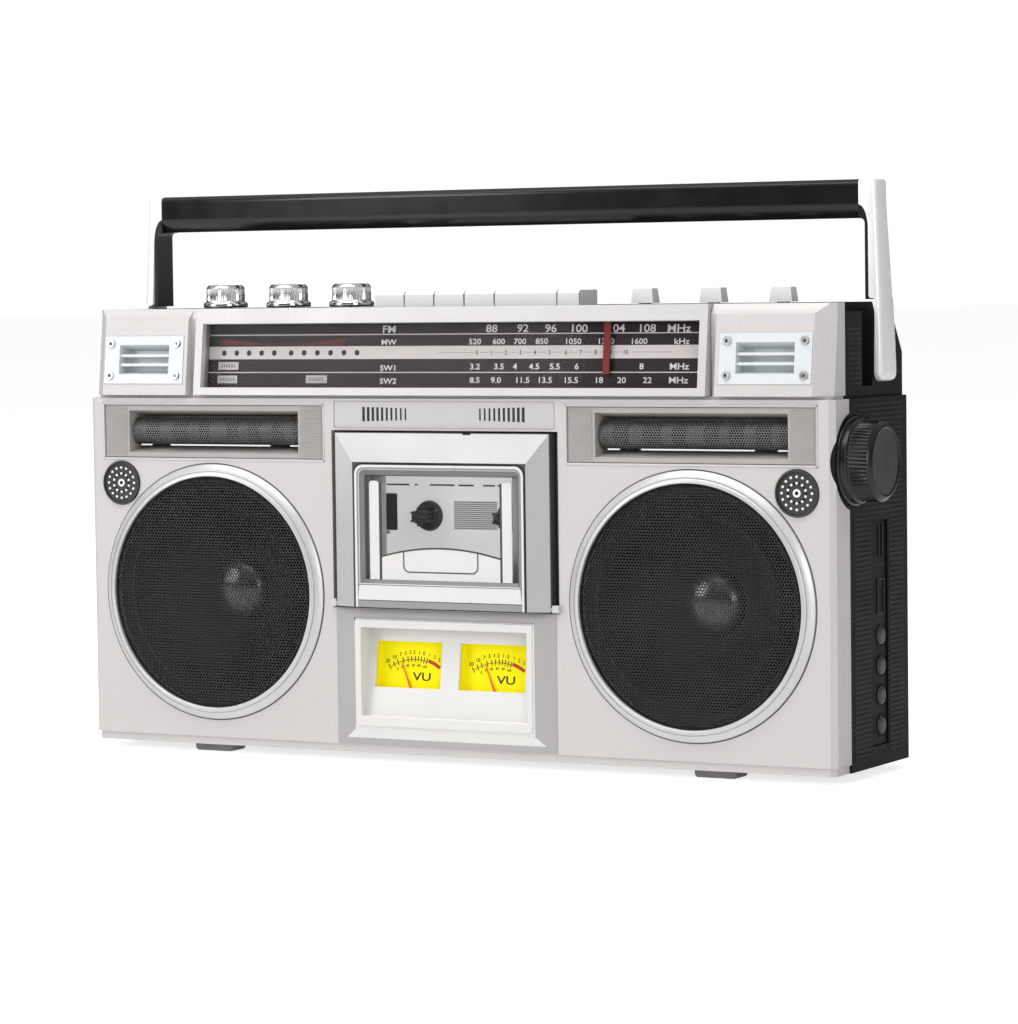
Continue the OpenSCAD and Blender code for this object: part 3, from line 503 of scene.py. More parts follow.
SPK_X, SPK_Z, RING_R, MESH_R = 123.63, 71.72, 59.5, 53.95
for side, sx in (("left", -1), ("right", 1)):
    p = 1.55
    cs = []
    for r in range(-45, 46):
        for c in range(-40, 41):
            x, z = (c + 0.5 * (r % 2)) * p, r * p * math.sqrt(3) / 2
            if math.hypot(x, z) < MESH_R - 0.9:
                cs.append((x, z))
    cx = sx * SPK_X
    # dots=0.13: painted highlight dots on the grille's lattice nodes
    ob = perforate("grille_" + side, cs, p, p * 0.405, lambda P, d, cx=cx: np.stack([P[:, 0] + cx, np.full(len(P), -1.9) + d, P[:, 1] + SPK_Z], 1), 0.5, "case", "grille", dots=0.13)
    if side == "left":
        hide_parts("speaker_grilles")
    # hem round the sheet, silver ring with a groove, cone, dust cap
    g = Geo()
    M = axis_y(cx, 0, SPK_Z)
    g.lathe([(52.7, 1.3), (52.7, 1.95), (53.2, 2.1), (53.85, 2.05), (53.95, 1.3), (52.7, 1.3)], 160, 0, M)
    g.make("grille_hem_" + side, "case", MAT["grille"])
    g = Geo()
    g.lathe([(59.5, -0.6), (59.5, 0.55), (59.2, 0.85), (56.75, 2.62), (56.55, 2.68), (56.45, 2.3), (56.1, 2.3), (56.0, 2.95), (55.7, 3.2), (54.7, 3.55), (54.25, 3.55), (54.02, 3.3), (54.0, -2.9), (56.0, -2.9), (56.05, -0.6), (59.5, -0.6)], 180, 0, M)
    ring = g.make("speaker_ring_" + side, "case", MAT["ring"])
    # A thin dark annulus on the panel just outside the ring: painted shadow.
    g = Geo()
    g.lathe([(59.55, 0.0), (59.55, 0.05), (60.15, 0.03), (60.2, 0.0)], 180, 0, M)
    g.make("ring_gap_" + side, "case", MAT["gap"])
    g = Geo()
    g.lathe([(48.2, -3.3), (47, -1.9), (45.5, -1.15), (44, -1.0), (42.4, -1.3), (41.2, -2.2), (40.4, -3.3), (32, -10.0), (24, -16.5), (15.6, -23.2)], 128, 0, M)
    for k in range(5):
        pass
    cone = g.make("cone_" + side, "case", MAT["cone"])
    g = Geo()
    g.lathe([(15.7, -23.4), (15.2, -21.9), (14.4, -20.4), (13.0, -19.0), (11.0, -17.6), (8.5, -16.5), (5.6, -15.75), (2.6, -15.4), (0.0, -15.3)], 96, 0, M)
    g.make("dust_cap_" + side, "case", MAT["cap"])
    if side == "left":
        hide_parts("speaker_rings")
        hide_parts("woofer_cones")
    # tweeter: perforated tube with painted highlight dots, lit inner tube with dark gaps, bright rod, fine step lines
    rows, R = 36, 6.4
    pit = 2 * math.pi * R / rows / (math.sqrt(3) / 2)
    cs = []
    for r in range(rows):
        for c in range(int(92.6 / pit)):
            cs.append(((c + 0.55 + 0.5 * (r % 2)) * pit, r * pit * math.sqrt(3) / 2))
    x0 = 77.2 if sx > 0 else -170.0

    def tube(P, d, x0=x0, R=R):
        an = P[:, 1] / R
        return np.stack([P[:, 0] + x0, 8.9 + (R - d) * np.cos(an), 146.3 + (R - d) * np.sin(an)], 1)
    tm = perforate("tweeter_mesh_" + side, cs, pit, pit * 0.44, tube, 0.4, "case", "mesh", backs=False, dots=0.2)
    if side == "left":
        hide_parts("tweeter_meshes")
    g = Geo()
    lo_x = x0 + 0.6
    segs, spans = [0, 6, 14, 20.5, 30, 35, 42, 50.5, 58, 62.5, 70, 75.5, 83, 87, 92], []
    for k in range(len(segs) - 1):
        dark = k % 2 == 1
        r_ = 5.2
        MX = axis_x(lo_x + segs[k], 8.9, 146.3)
        w_ = segs[k + 1] - segs[k]
        if dark:
            g.lathe([(0, 0), (r_ - 0.8, 0), (r_ - 0.3, 0.3), (r_ - 0.3, w_ - 0.3), (r_ - 0.8, w_), (0, w_)], 32, 1, MX)
        else:
            g.lathe([(0, 0), (r_, 0), (r_, w_), (0, w_)], 32, 0, MX)
    g.make("tweeter_core_" + side, "case", [MAT["core"], MAT["gloss"]])
    g = Geo()
    a_, b_ = (82, 88) if sx > 0 else (-166, -160)
    for xa, xb in ((x0 + 4.5, x0 + 10.5), (x0 + 21, x0 + 76), (x0 + 87, x0 + 92.4)):
        g.box(xa, xb, 3.4, 4.2, 139.6, 140.3, 0, None, 0.12)
    g.make("tweeter_rod_" + side, "case", MAT["key"])
    # stepped frame round the tweeter window
    g = Geo()
    X0, X1, Z0, Z1 = (62.4, 184.6, 133.0, 159.9) if sx > 0 else (-184.6, -62.4, 133.0, 159.9)
    for xa, xb, za, zb in ((X0, X1, Z1 - 0.7, Z1), (X0, X1, Z0, Z0 + 0.7), (X0, X0 + 0.7, Z0, Z1), (X1 - 0.7, X1, Z0, Z1)):
        g.box(xa, xb, -0.35, 0.2, za, zb, 0, None, 0.12)
    g.make("tweeter_frame_" + side, "case", MAT["ring"])
    g = Geo()
    # ribbed end plates
    for xa in (64.0, 171.3):
        xx0, xx1 = (xa, xa + 11.6) if sx > 0 else (-xa - 11.6, -xa)
        g.box(xx0, xx1, 0.55, 1.6, 135.3, 157.6, 0, None, 0.1)
        for i in range(24):
            z = 135.9 + 0.92 * i
            g.box(xx0 + 0.2, xx1 - 0.2, 0.22, 0.8, z, z + 0.5, 0, None, 0.12)
    g.make("tweeter_ends_" + side, "case", MAT["rib"])
    # microphone dots
    g = Geo()
    MM = axis_y(sx * 174.65, 0, 122)
    for n_, rr, ph in ((16, 7.15, 0), (10, 4.35, 18)):
        for i in range(n_):
            a = rad(360 * i / n_ + ph)
            g.lathe([(0.62, 0.25), (0.55, 0.5), (0.3, 0.62), (0, 0.66)], 12, 0, MM @ Matrix.Translation((rr * math.cos(a), rr * math.sin(a), 0)))
    g.lathe([(0.9, 0.25), (0.95, 0.6), (1.3, 0.75), (1.75, 0.6), (1.85, 0.25)], 32, 0, MM)
    g.make("mic_dots_" + side, "case", MAT["white"])
    g = Geo()
    g.lathe([(8.9, 0.25), (9.2, 1.05), (9.75, 1.1), (10.5, 0.1), (10.6, -0.4)], 96, 0, MM)
    g.make("mic_rim_" + side, "case", MAT["gloss"])

# ---- chromed knobs on top
for nm, kx in (("volume", -134.1), ("balance", -99.1), ("tone", -64.7)):
    g = Geo()
    M = Matrix.Translation((kx, 30, 0))
    prof = [(9.6, 203.8), (10.3, 203.9), (10.45, 204.2), (10.45, 205.3), (10.25, 205.9), (9.6, 206.35), (9.1, 206.5), (9.05, 206.8), (9.05, 207.1), (9.05, 212.6), (9.05, 212.9), (8.95, 213.2), (8.05, 214.25), (7.7, 214.4), (6.9, 214.3), (6.7, 214.05), (0.0, 214.05)]
    g.lathe(prof, 432, 0, M, ribs=72, rib_h=0.28, rib_rows=(8, 9))
    for a in range(0, 360, 30):
        Q = M @ Matrix.Rotation(rad(a), 4, "Z")
        g.box(9.4, 10.42, -1.0, 1.0, 204.2, 205.9, 0, Q, 0.25)
    g.box(4.0, 8.2, -0.35, 0.35, 214.1, 214.45, 1, M @ Matrix.Rotation(rad(-90), 4, "Z"), 0.1)
    g.lathe([(3, 196.0), (3, 204.0)], 24, 0, M)
    ob = g.make(nm + "_knob_ribbed", nm + "_control", [MAT["chrome"], MAT["ink"]], sharp=40)
    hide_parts(nm + "_knob")

# ---- tuning knob
g = Geo()
M = axis_x(0, 22, 135)
prof = [(3, 176), (3, 190.8), (18.9, 190.8), (19.4, 191.0), (19.5, 191.4), (19.5, 192.5), (19.2, 192.9), (18.5, 193.1), (18.4, 195.4), (18.1, 195.8), (17.5, 196.0), (17.35, 196.3), (17.35, 196.8), (17.35, 204.6), (17.35, 205.0), (17.1, 205.4), (15.7, 206.75), (15.2, 206.98), (14.6, 206.9), (14.2, 206.5), (8, 206.4), (0.0, 206.4)]
g.lathe(prof, 360, 0, M, ribs=60, rib_h=0.75, rib_rows=(12, 13))
ob = g.make("tuning_knob_ribbed", "tuning", MAT["gloss"], sharp=40)
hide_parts("tuning_knob")

# ---- handle: ribbed grip, alloy arms, black liners
def grip_profile():
    half = [(0, 240.1), (-3.6, 240.15), (-5.2, 241.6), (-6.4, 244.2), (-6.85, 245.6), (-6.9, 246.4)]
    z = 246.9
    while z < 254.0:
        half += [(-6.9, z), (-6.55, z + 0.12), (-6.55, z + 0.36), (-6.9, z + 0.48)]
        z += 0.95
    half += [(-6.9, 254.6), (-6.6, 255.6), (-5.6, 256.6), (-4.6, 257.0)]
    y = -4.2
    while y < -0.3:
        half += [(y, 257.15), (y + 0.12, 256.85), (y + 0.36, 256.85), (y + 0.48, 257.15)]
        y += 0.95
    return half + [(0, 257.18)] + [(-a, b) for a, b in half[::-1] if a != 0]


g = Geo()
prof = grip_profile()
rings = []
for x in (-182.55, -182.3, 182.3, 182.55):
    k = 0.985 if abs(x) > 182.4 else 1.0
    rings.append([(x, 56.2 + a * k, 248.6 + (b - 248.6) * k) for a, b in prof])
g.loft(rings, 0, None, closed=True, cap=True)
ob = g.make("grip_ribbed", "handle", MAT["grip"], sharp=28)
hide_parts("handle_grip")


def arm_section(xi, xo, y0, y1, z, s):
    ro, ri = min(2.6, (xo - xi) * 0.62), 0.35
    pts = []
    for cx_, cy_, a0, r in ((xo - ro, y1 - ro, 0, ro), (xi + ri, y1 - ri, 90, ri), (xi + ri, y0 + ri, 180, ri), (xo - ro, y0 + ro, 270, ro)):
        for i in range(7):
            a = rad(a0 + 15 * i)
            pts.append((s * (cx_ + r * math.cos(a)), cy_ + r * math.sin(a), z))
    return pts


for side, s in (("left", -1), ("right", 1)):
    st = [(168.75, 190.6, 192.6, 52.0, 60.5), (169.0, 190.35, 193.2, 50.4, 62.0), (169.7, 190.35, 193.8, 48.8, 63.9), (171.0, 190.35, 194.05, 47.6, 65.0), (173.0, 190.35, 194.1, 47.3, 65.4),
          (185.0, 190.35, 193.8, 47.6, 65.1), (204.8, 190.35, 192.95, 48.2, 64.5), (205.3, 187.9, 192.93, 48.25, 64.45), (206.0, 187.5, 192.9, 48.3, 64.4), (220.0, 187.3, 192.25, 48.7, 64.0), (234.5, 187.1, 191.55, 49.1, 63.5)]
    for t in range(1, 9):
        a = rad(90 * t / 8)
        st.append((234.5 + 11.5 * math.sin(a), 187.1 - 4.5 * (1 - math.cos(a)), 191.5 - 0.07 * t, 49.25, 63.2))
    st += [(255.6, 182.6, 190.75, 49.3, 63.1), (256.6, 182.6, 190.5, 49.6, 62.8), (257.1, 182.9, 189.9, 50.2, 62.2)]
    g = Geo()
    g.loft([arm_section(xi, xo, y0, y1, z, s) for z, xi, xo, y0, y1 in st], 0, None, closed=True, cap=True)
    g.lathe([(0, 181), (4, 181), (4, 190.6)], 32, 0, axis_x(0, 56, 174) if s > 0 else Matrix.Rotation(rad(-90), 4, "Y") @ Matrix.Translation((174, 56, 0)))
    # pivot cover on the outside of the arm
    ob = g.make("arm_" + side, "handle", MAT["alloy"], sharp=26)
    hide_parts(side + "_arm")
    g = Geo()
    out = [(187.2, 204.6), (187.2, 234.5)] + [(187.1 - 4.5 * (1 - math.cos(rad(11.25 * t))), 234.5 + 11.5 * math.sin(rad(11.25 * t))) for t in range(1, 9)] + [(182.4, 240.0)]
    inn = [(183.5, 240.0)] + [(183.5 + 2.0 * math.sin(rad(22.5 * t)), 238.0 + 2.0 * math.cos(rad(22.5 * t))) for t in range(0, 5)] + [(185.55, 204.6)]
    g.slab([(s * x, z) for x, z in out + inn[1:]], 49.5, 62.9, 0)
    g.make("arm_liner_" + side, "handle", MAT["gloss"], sharp=26)

g = Geo()
for s in (-1, 1):
    for x, z in ((141.6, 8.9), (141.6, 23.9), (179.4, 8.9), (179.4, 23.9)):
        Q = LEAN @ axis_y(s * x, 0, z)
        g.lathe([(1.55, 0.36), (1.5, 0.44), (1.25, 0.46)], 24, 0, Q)
        g.lathe([(1.3, 0.36), (1.25, 0.62), (0.95, 0.72), (0, 0.74)], 24, 1, Q)
        g.box(x * s - 0.75, x * s + 0.75, -0.8, -0.7, z - 0.17, z + 0.17, 0, LEAN, 0.04)
g.make("vent_screws", "case", [MAT["ink"], MAT["screw"]])

# ---- fine ribs on both sides of the housing
g = Geo()
for s in (-1, 1):
    z = 6.0
    while z < 160:
        spans = [(20.5, 74.0)]
        if s > 0:
            if z < 110.5:
                spans = [(20.5, 38.4), (58.2, 74.0)]
            dz = abs(z + 0.5 - 135)
            if dz < 22.3:
                e = 22 + math.sqrt(22.3 ** 2 - dz ** 2)
                spans = [(e, 74.0)]
        for a, b in spans:
            if b - a > 1:
                g.box(s * 191.9 if s > 0 else -192.28, 192.28 if s > 0 else -191.9, a, b, z, z + 0.95, 0, None, 0.12)
        z += 2.15
    z = 168.0
    while z < 193:
        g.box(min(s * 189.9, s * 190.2), max(s * 189.9, s * 190.2), 20.5, 33.6, z, z + 0.95, 0, None, 0.08)
        z += 2.15
g.make("side_ribs", "case", MAT["ribs"])

# ---- port strip on the right side
g = Geo()
g.box(190.9, 191.25, 40.0, 56.5, 9.5, 107.5, 0, None, 0.1)
for z in (66.0, 88.5):
    g.box(191.2, 191.45, 41.0, 55.5, z, z + 0.3, 1, None, 0.05)
g.box(190.6, 191.6, 46.6, 54.4, 66.8, 67.5, 1, None, 0.15)
for za, zb, ya, yb in ((66.9, 82.3, 46.7, 47.4), (66.9, 82.3, 53.6, 54.3), (81.7, 82.3, 46.7, 54.3), (66.9, 67.5, 46.7, 54.3), (91.8, 106.2, 48.4, 49.0), (91.8, 106.2, 52.0, 52.6)):
    g.box(190.8, 191.75, ya, yb, za, zb, 1, None, 0.15)
g.make("port_strip", "case", [MAT["black"], MAT["gloss"]])
g = Geo()
g.box(180, 190.5, 50.0, 52.4, 69.0, 80.2, 0, None, 0.2)
for k in range(4):
    g.box(181, 190.2, 49.85, 50.05, 70.3 + 2.5 * k, 71.6 + 2.5 * k, 1, None, 0.05)
g.make("usb_tongue", "case", [MAT["tongue"], MAT["brass"]])
for nm, z in (("skip", 57.2), ("back", 43.8), ("play", 30.7), ("mode", 17.6)):
    g = Geo()
    g.lathe([(4.2, 185), (4.2, 191.3), (4.1, 191.7), (3.8, 192.0), (3.2, 192.2), (2.0, 192.28), (0, 192.3)], 64, 0, axis_x(0, 50.5, z))
    ob = g.make(nm + "_dome", nm + "_pad", MAT["button"])
    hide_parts(nm + "_button")
    g = Geo()
    g.lathe([(4.45, 190.9), (4.5, 191.5), (4.8, 191.6), (5.2, 191.45), (5.3, 190.9)], 64, 0, axis_x(0, 50.5, z))
    g.make(nm + "_ring", "case", MAT["black"])

# ---- label seat above the door: plate with plain bars
g = Geo()
g.slab(rrect(-56.8, 56.8, 149.0, 160.6, 0.8), 0.2, 0.75, 0)
for s in (-1, 1):
    for k in range(10):
        xa = s * (19.3 + 2.45 * k)
        hgt, wd = 5.4 + 0.13 * k, 0.36 + 0.035 * k
        g.box(xa - wd, xa + wd, 0.02, 0.3, 155.0 - hgt / 2, 155.0 + hgt / 2, 1, None, 0.08)
g.make("label_plate", "case", [MAT["bezel"], MAT["ink"]])

# ---- dial print (front of the dial plate is local y 9)
g = Geo()
Y = 8.9
g.quad(-130.0, 130.0, 17.5, 23.4, Y, 0, LEAN)
g.quad(-130.0, 130.0, 28.55, 28.95, Y, 1, LEAN)
g.quad(-130.0, 130.0, 11.15, 11.55, Y, 1, LEAN)
for x0_, x1_, z0_, z1_ in ((-123.8, -98.0, 27.2, 24.2), (-56.5, -76.0, 27.2, 24.4)):
    g.add([(x0_, Y, 24.1), (x0_, Y, z0_), (x1_, Y, z1_ + 0.3), (x1_, Y, 24.1)], [(0, 1, 2, 3)], 2, LEAN)
g.add([(-98.0, Y, 24.1), (-98.0, Y, 24.5), (-76, Y, 24.7), (-76, Y, 24.1)], [(0, 1, 2, 3)], 3, LEAN)
for x in (-121.7, -114.8, -108.0, -101.1, -94.2, -85.0, -78.0, -70.8, -63.7, -56.5, -49.5):
    g.lathe([(0, 0.08), (1.15, 0.08), (1.3, 0.0)], 20, 4, LEAN @ axis_y(x, Y, 20.4))
for (x, z, h, s_, w_) in (
        (-32.9, 31.1, 3.3, "FM", 1.25), (-32.9, 25.2, 2.5, "MW", 1.25), (-32.5, 13.4, 2.5, "SW1", 1.25), (-32.4, 7.4, 2.5, "SW2", 1.25),
        (20.5, 31.2, 3.4, "88", 1.25), (36.4, 31.2, 3.4, "92", 1.25), (50.6, 31.1, 3.4, "96", 1.25), (64.7, 31.0, 3.4, "100", 1.25), (83.2, 31.0, 3.4, "104", 1.25), (98.5, 30.9, 3.4, "108", 1.25), (114.2, 30.8, 3.4, "MHz", 1.25),
        (12.1, 25.3, 2.5, "520", 1.2), (24.4, 25.3, 2.5, "600", 1.2), (35.2, 25.3, 2.5, "700", 1.2), (46.3, 25.3, 2.5, "850", 1.2), (62.0, 25.2, 2.5, "1050", 1.2), (78.4, 25.2, 2.5, "1300", 1.2), (94.8, 25.1, 2.5, "1600", 1.2), (115.8, 25.0, 2.6, "kHz", 1.25),
        (12.6, 14.0, 2.6, "3.2", 1.2), (25.0, 14.0, 2.6, "3.5", 1.2), (33.2, 14.0, 2.6, "4", 1.2), (43.0, 14.0, 2.6, "4.5", 1.2), (53.4, 14.0, 2.6, "5.5", 1.2), (64.4, 14.0, 2.6, "6", 1.2), (96.6, 14.0, 2.6, "8", 1.2), (115.0, 14.0, 2.8, "MHz", 1.25),
        (12.9, 7.9, 2.6, "8.5", 1.2), (23.7, 7.9, 2.6, "9.0", 1.2), (37.2, 7.9, 2.6, "11.5", 1.2), (48.6, 7.9, 2.6, "13.5", 1.2), (61.7, 7.9, 2.6, "15.5", 1.2), (75.7, 7.9, 2.6, "18", 1.2), (87.0, 7.9, 2.6, "20", 1.2), (99.7, 7.9, 2.6, "22", 1.2), (114.8, 7.9, 2.8, "MHz", 1.25)):
    g.text(s_, x, z - h / 2, h, Y - 0.02, 1, LEAN, w_)
for k in range(11):
    x = 13.4 + 7.42 * k + (0.8 if k > 5 else 0)
    g.text(str(k), x, 19.3, 2.0, Y - 0.05, 4, LEAN, 0.9)
    if k < 10:
        for j in range(4):
            g.quad(x + 1.9 + j * 1.1, x + 2.5 + j * 1.1, 20.2, 20.45, Y - 0.05, 4, LEAN)
for k in range(14):
    g.quad(-7 + 1.4 * k, -6.3 + 1.4 * k, 20.2, 20.45, Y - 0.05, 4, LEAN)
    g.quad(92 + 1.4 * k, 92.7 + 1.4 * k, 20.2, 20.45, Y - 0.05, 4, LEAN)
for x0_, x1_, z0_, z1_ in ((-124.6, -113.5, 12.6, 16.2), (-124.8, -113.9, 6.3, 9.9), (-76.4, -65.0, 6.4, 10.0)):
    g.quad(x0_, x1_, z0_, z1_, Y, 5, LEAN)
    for j in range(6):
        xx = x0_ + 1.7 + 1.35 * j
        g.quad(xx, xx + 0.75, z0_ + 1.0, z1_ - 1.0, Y - 0.05, 6, LEAN)
g.make("dial_print", "case", [MAT["cream"], MAT["white"], MAT["darkred"], MAT["darkred"], MAT["ink"], MAT["label"], MAT["grey"]], recalc=False)
g = Geo()
g.box(78.3, 81.7, 6.75, 7.65, 10.3, 36.0, 0, LEAN, 0.2)
g.box(78, 82, 6.8, 12.2, 34.7, 36.15, 0, LEAN, 0.2)
g.box(74, 86, 10.9, 12.2, 30.1, 36.1, 0, LEAN, 0.3)
ob = g.make("pointer_red", "pointer", MAT["red"])
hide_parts("dial_needle")

# ---- cassette door
g = Geo()
W, Z0, Z1, BX, BZ, YF = 55.65, 67.0, 146.8, 44.8, 133.4, -5.2
ys = [(4.1, 0.0), (-1.9, 0.0), (-2.2, 0.35)]
g.loft([[(-W + i, y, Z0 + i), (W - i, y, Z0 + i), (W - i, y, Z1 - i), (-W + i, y, Z1 - i)] for y, i in ys], 3)
# Side bevels in the painted-shade grey, top bevel in the lit copy of the paint.
g.add([(-W + .35, -2.2, Z0 + .35), (-BX, YF + .25, Z0 + .35), (-BX, YF + .25, BZ), (-W + .35, -2.2, Z1 - .35)], [(0, 1, 2, 3)], 1)
g.add([(W - .35, -2.2, Z0 + .35), (BX, YF + .25, Z0 + .35), (BX, YF + .25, BZ), (W - .35, -2.2, Z1 - .35)], [(0, 1, 2, 3)], 1)
g.add([(-W + .35, -2.2, Z1 - .35), (-BX, YF + .25, BZ), (BX, YF + .25, BZ), (W - .35, -2.2, Z1 - .35)], [(0, 1, 2, 3)], 2)
g.add([(-BX, YF + .25, Z0 + .35), (-W + .35, -2.2, Z0 + .35), (W - .35, -2.2, Z0 + .35), (BX, YF + .25, Z0 + .35)], [(0, 1, 2, 3)], 0)


def u_line(x, ztop, zbot, r, n=8):
    pts = [(-x, zbot)]
    for i in range(n + 1):
        a = rad(180 - 90 * i / n)
        pts.append((-x + r + r * math.cos(a), ztop - r + r * math.sin(a)))
    for i in range(n + 1):
        a = rad(90 - 90 * i / n)
        pts.append((x - r + r * math.cos(a), ztop - r + r * math.sin(a)))
    return pts + [(x, zbot)]


def strip(g, a, b, ya, yb, mi):
    g.loft([[(x, ya, z) for x, z in a], [(x, yb, z) for x, z in b]], mi, None, closed=False)


U0, U1, U2, U3 = u_line(44.8, 133.4, 67.35, 5.2), u_line(44.1, 132.6, 67.35, 4.6), u_line(43.7, 132.2, 67.35, 4.3), u_line(41.35, 129.95, 78.2, 2.6)
# The groove round the U frame and its corner pieces are dark as painted shade.
strip(g, U0, U1, YF + .25, YF + .9, 3)
strip(g, U1, U2, YF + .9, YF + .02, 3)
U2b = u_line(43.4, 131.9, 67.35, 4.1)
strip(g, U2, U2b, YF + .02, YF - .0, 4)
U3o = u_line(41.6, 130.2, 78.0, 2.8)
# flat rim between the outer U and the window, and the bar under the window
outer = [(-43.4, 67.35)] + U2b[1:-1] + [(43.4, 67.35)]
U2m = u_line(42.55, 131.1, 67.35, 3.5)
g.loft([[(x, YF, z) for x, z in U2b], [(x, YF, z) for x, z in U2m]], 4, None, closed=False)
U2n = u_line(42.45, 131.0, 67.35, 3.4)
strip(g, U2m, U2n, YF, YF + 0.1, 6)
g.loft([[(x, YF + 0.1, z) for x, z in U2n], [(x, YF + 0.1, z) for x, z in U3o]], 6, None, closed=False)
g.add([(-42.45, YF + 0.05, 67.35), (42.45, YF + 0.05, 67.35), (42.45, YF + 0.05, 70.6), (-42.45, YF + 0.05, 70.6)], [(0, 1, 2, 3)], 6)
g.add([(-42.45, YF + 0.02, 70.6), (42.45, YF + 0.02, 70.6), (41.6, YF, 78.0), (-41.6, YF, 78.0)], [(0, 1, 2, 3)], 4)
# Two thin dark bars: painted shade lines.
for za, zb in ((70.4, 70.75), (77.5, 77.85)):
    g.add([(-42.4, YF, za), (42.4, YF, za), (42.4, YF, zb), (-42.4, YF, zb)], [(0, 1, 2, 3)], 3)
strip(g, U3o, U3, YF, YF + .3, 4)
g.add([(-41.6, YF, 78.0), (41.6, YF, 78.0), (41.35, YF + .3, 78.2), (-41.35, YF + .3, 78.2)], [(0, 1, 2, 3)], 4)
# sloping walls down to the pane, in a darker grey that paints the shade of the recess
U4 = u_line(39.6, 127.6, 79.9, 1.4)
strip(g, U3, U4, YF + .3, -3.2, 5)
g.add([(-41.35, YF + .3, 78.2), (41.35, YF + .3, 78.2), (39.6, -3.2, 79.9), (-39.6, -3.2, 79.9)], [(0, 1, 2, 3)], 5)
U5 = u_line(39.0, 127.0, 80.4, 1.0)
strip(g, U4, U5, -3.2, -1.0, 5)
g.add([(-39.6, -3.2, 79.9), (39.6, -3.2, 79.9), (39.0, -1.0, 80.4), (-39.0, -1.0, 80.4)], [(0, 1, 2, 3)], 5)
# corner pieces where the bevels meet the rounded frame
for s in (-1, 1):
    cpts = [(s * 44.8, 133.4)] + [(s * (44.8 - 5.2 + 5.2 * math.cos(rad(90 * i / 8))), 133.4 - 5.2 + 5.2 * math.sin(rad(90 * i / 8))) for i in range(9)]
    g.add([(x, YF + .25, z) for x, z in cpts], [tuple(range(len(cpts)))], 3)
# back of the door
g.loft([[(-W, 4.1, Z0), (W, 4.1, Z0), (W, 4.1, Z1), (-W, 4.1, Z1)], [(-53, 4.1, 71), (53, 4.1, 71), (53, 4.1, 144), (-53, 4.1, 144)], [(-53, 1, 71), (53, 1, 71), (53, 1, 144), (-53, 1, 144)], [(-39, 1, 80.4), (39, 1, 80.4), (39, 1, 127), (-39, 1, 127)], [(-39, -1, 80.4), (39, -1, 80.4), (39, -1, 127), (-39, -1, 127)]], 0)
for s in (-1, 1):
    g.lathe([(0, 0), (1.2, 0), (1.2, 8.4), (0, 8.4)], 20, 0, axis_x(50, -0.9, 68.6) if s > 0 else axis_x(-58.4, -0.9, 68.6))
ob = g.make("door_frame", "door", [MAT["silver"], MAT["door_side"], MAT["door_top"], MAT["groove"], MAT["rim"], MAT["recess"], MAT["band"]], sharp=20, recalc=False)
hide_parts("cassette_door")
# latch at the top
g = Geo()
g.box(11.6, 15.6, -2.6, -1.9, 146.0, 147.2, 0, None, 0.2)
g.make("door_latch", "door", MAT["black"])
# window: pillars, arched plate with a plain tab
# Dark strips beside the pillars, along the arch and round the tab are painted shade lines.
g = Geo()
for s in (-1, 1):
    xs = sorted((s * 31.9, s * 36.8))
    g.slab([(xs[0], 80.0), (xs[1], 80.0), (xs[1], 123.8), (xs[1] - 0.9, 124.9), (xs[0] + 0.9, 124.9), (xs[0], 123.8)], -3.5, -3.0, 0)
    xs = sorted((s * 30.6, s * 31.9))
    g.slab([(xs[0], 80.0), (xs[1], 80.0), (xs[1], 124.3), (xs[0], 124.3)], -3.15, -3.0, 1)
N_ = 24
arc = [(-30.6 + 61.2 * i / N_, 90.2 + 4.1 * (1 - ((i - N_ / 2) / (N_ / 2)) ** 2)) for i in range(N_ + 1)]
g.slab([(-30.6, 80.0), (30.6, 80.0)] + arc[::-1], -3.3, -3.0, 2)
for k in range(N_):
    (xa, za), (xb, zb) = arc[k], arc[k + 1]
    g.slab([(xa, za), (xb, zb), (xb, zb + 0.75), (xa, za + 0.75)], -3.42, -3.0, 1)
tab = [(-19.2, 92.6), (-19.2, 86.6)] + [(-16.2 - 3 * math.cos(rad(15 * i)), 86.6 - 2.9 * math.sin(rad(15 * i))) for i in range(1, 7)] + [(16.2 + 3 * math.cos(rad(90 - 15 * i)), 86.6 - 2.9 * math.sin(rad(90 - 15 * i))) for i in range(0, 6)] + [(19.2, 86.6), (19.2, 92.6)]
for k in range(len(tab) - 1):
    (xa, za), (xb, zb) = tab[k], tab[k + 1]
    dx, dz = xb - xa, zb - za
    L_ = math.hypot(dx, dz) or 1
    nx, nz = -dz / L_ * 0.28, dx / L_ * 0.28
    g.slab([(xa - nx, za - nz), (xb - nx, zb - nz), (xb + nx, zb + nz), (xa + nx, za + nz)], -3.42, -3.25, 1)
g.make("window_trim", "door", [MAT["rim"], MAT["groove"], MAT["rim2"]])

# ---- inside of the deck
g = Geo()
# The deck plate and the lined panel below carry a painted glow in their materials.
g.slab(rrect(-50.5, 50.5, 78.6, 141, 0.8), 26.35, 26.95, 0)
g.slab(rrect(-48.3, -39.6, 100.5, 117.5, 0.6), 26.05, 26.4, 1)
g.box(-47.6, -43.4, 25.2, 26.4, 98.8, 100.2, 2, None, 0.3)
g.slab(rrect(-9.6, 13.4, 101.3, 114.6, 0.4), 26.05, 26.4, 3)
for k in range(14):
    g.box(-9.2, 13.0, 25.95, 26.1, 101.8 + 0.92 * k, 102.2 + 0.92 * k, 4, None, 0.05)
g.slab(rrect(14.4, 16.4, 104.6, 109.0, 0.9), 25.9, 26.4, 1)
for xa, xb in ((-45, -33), (-30, -28.5), (-22, -9), (-7, 1), (6, 12), (13.5, 17)):
    g.box(xa, xb, 26.0, 26.4, 121.3, 122.0, 1, None, 0.1)
g.make("deck_front", "case", [MAT["lit"], MAT["hub"], MAT["steel"], MAT["lined"], MAT["grey"]])
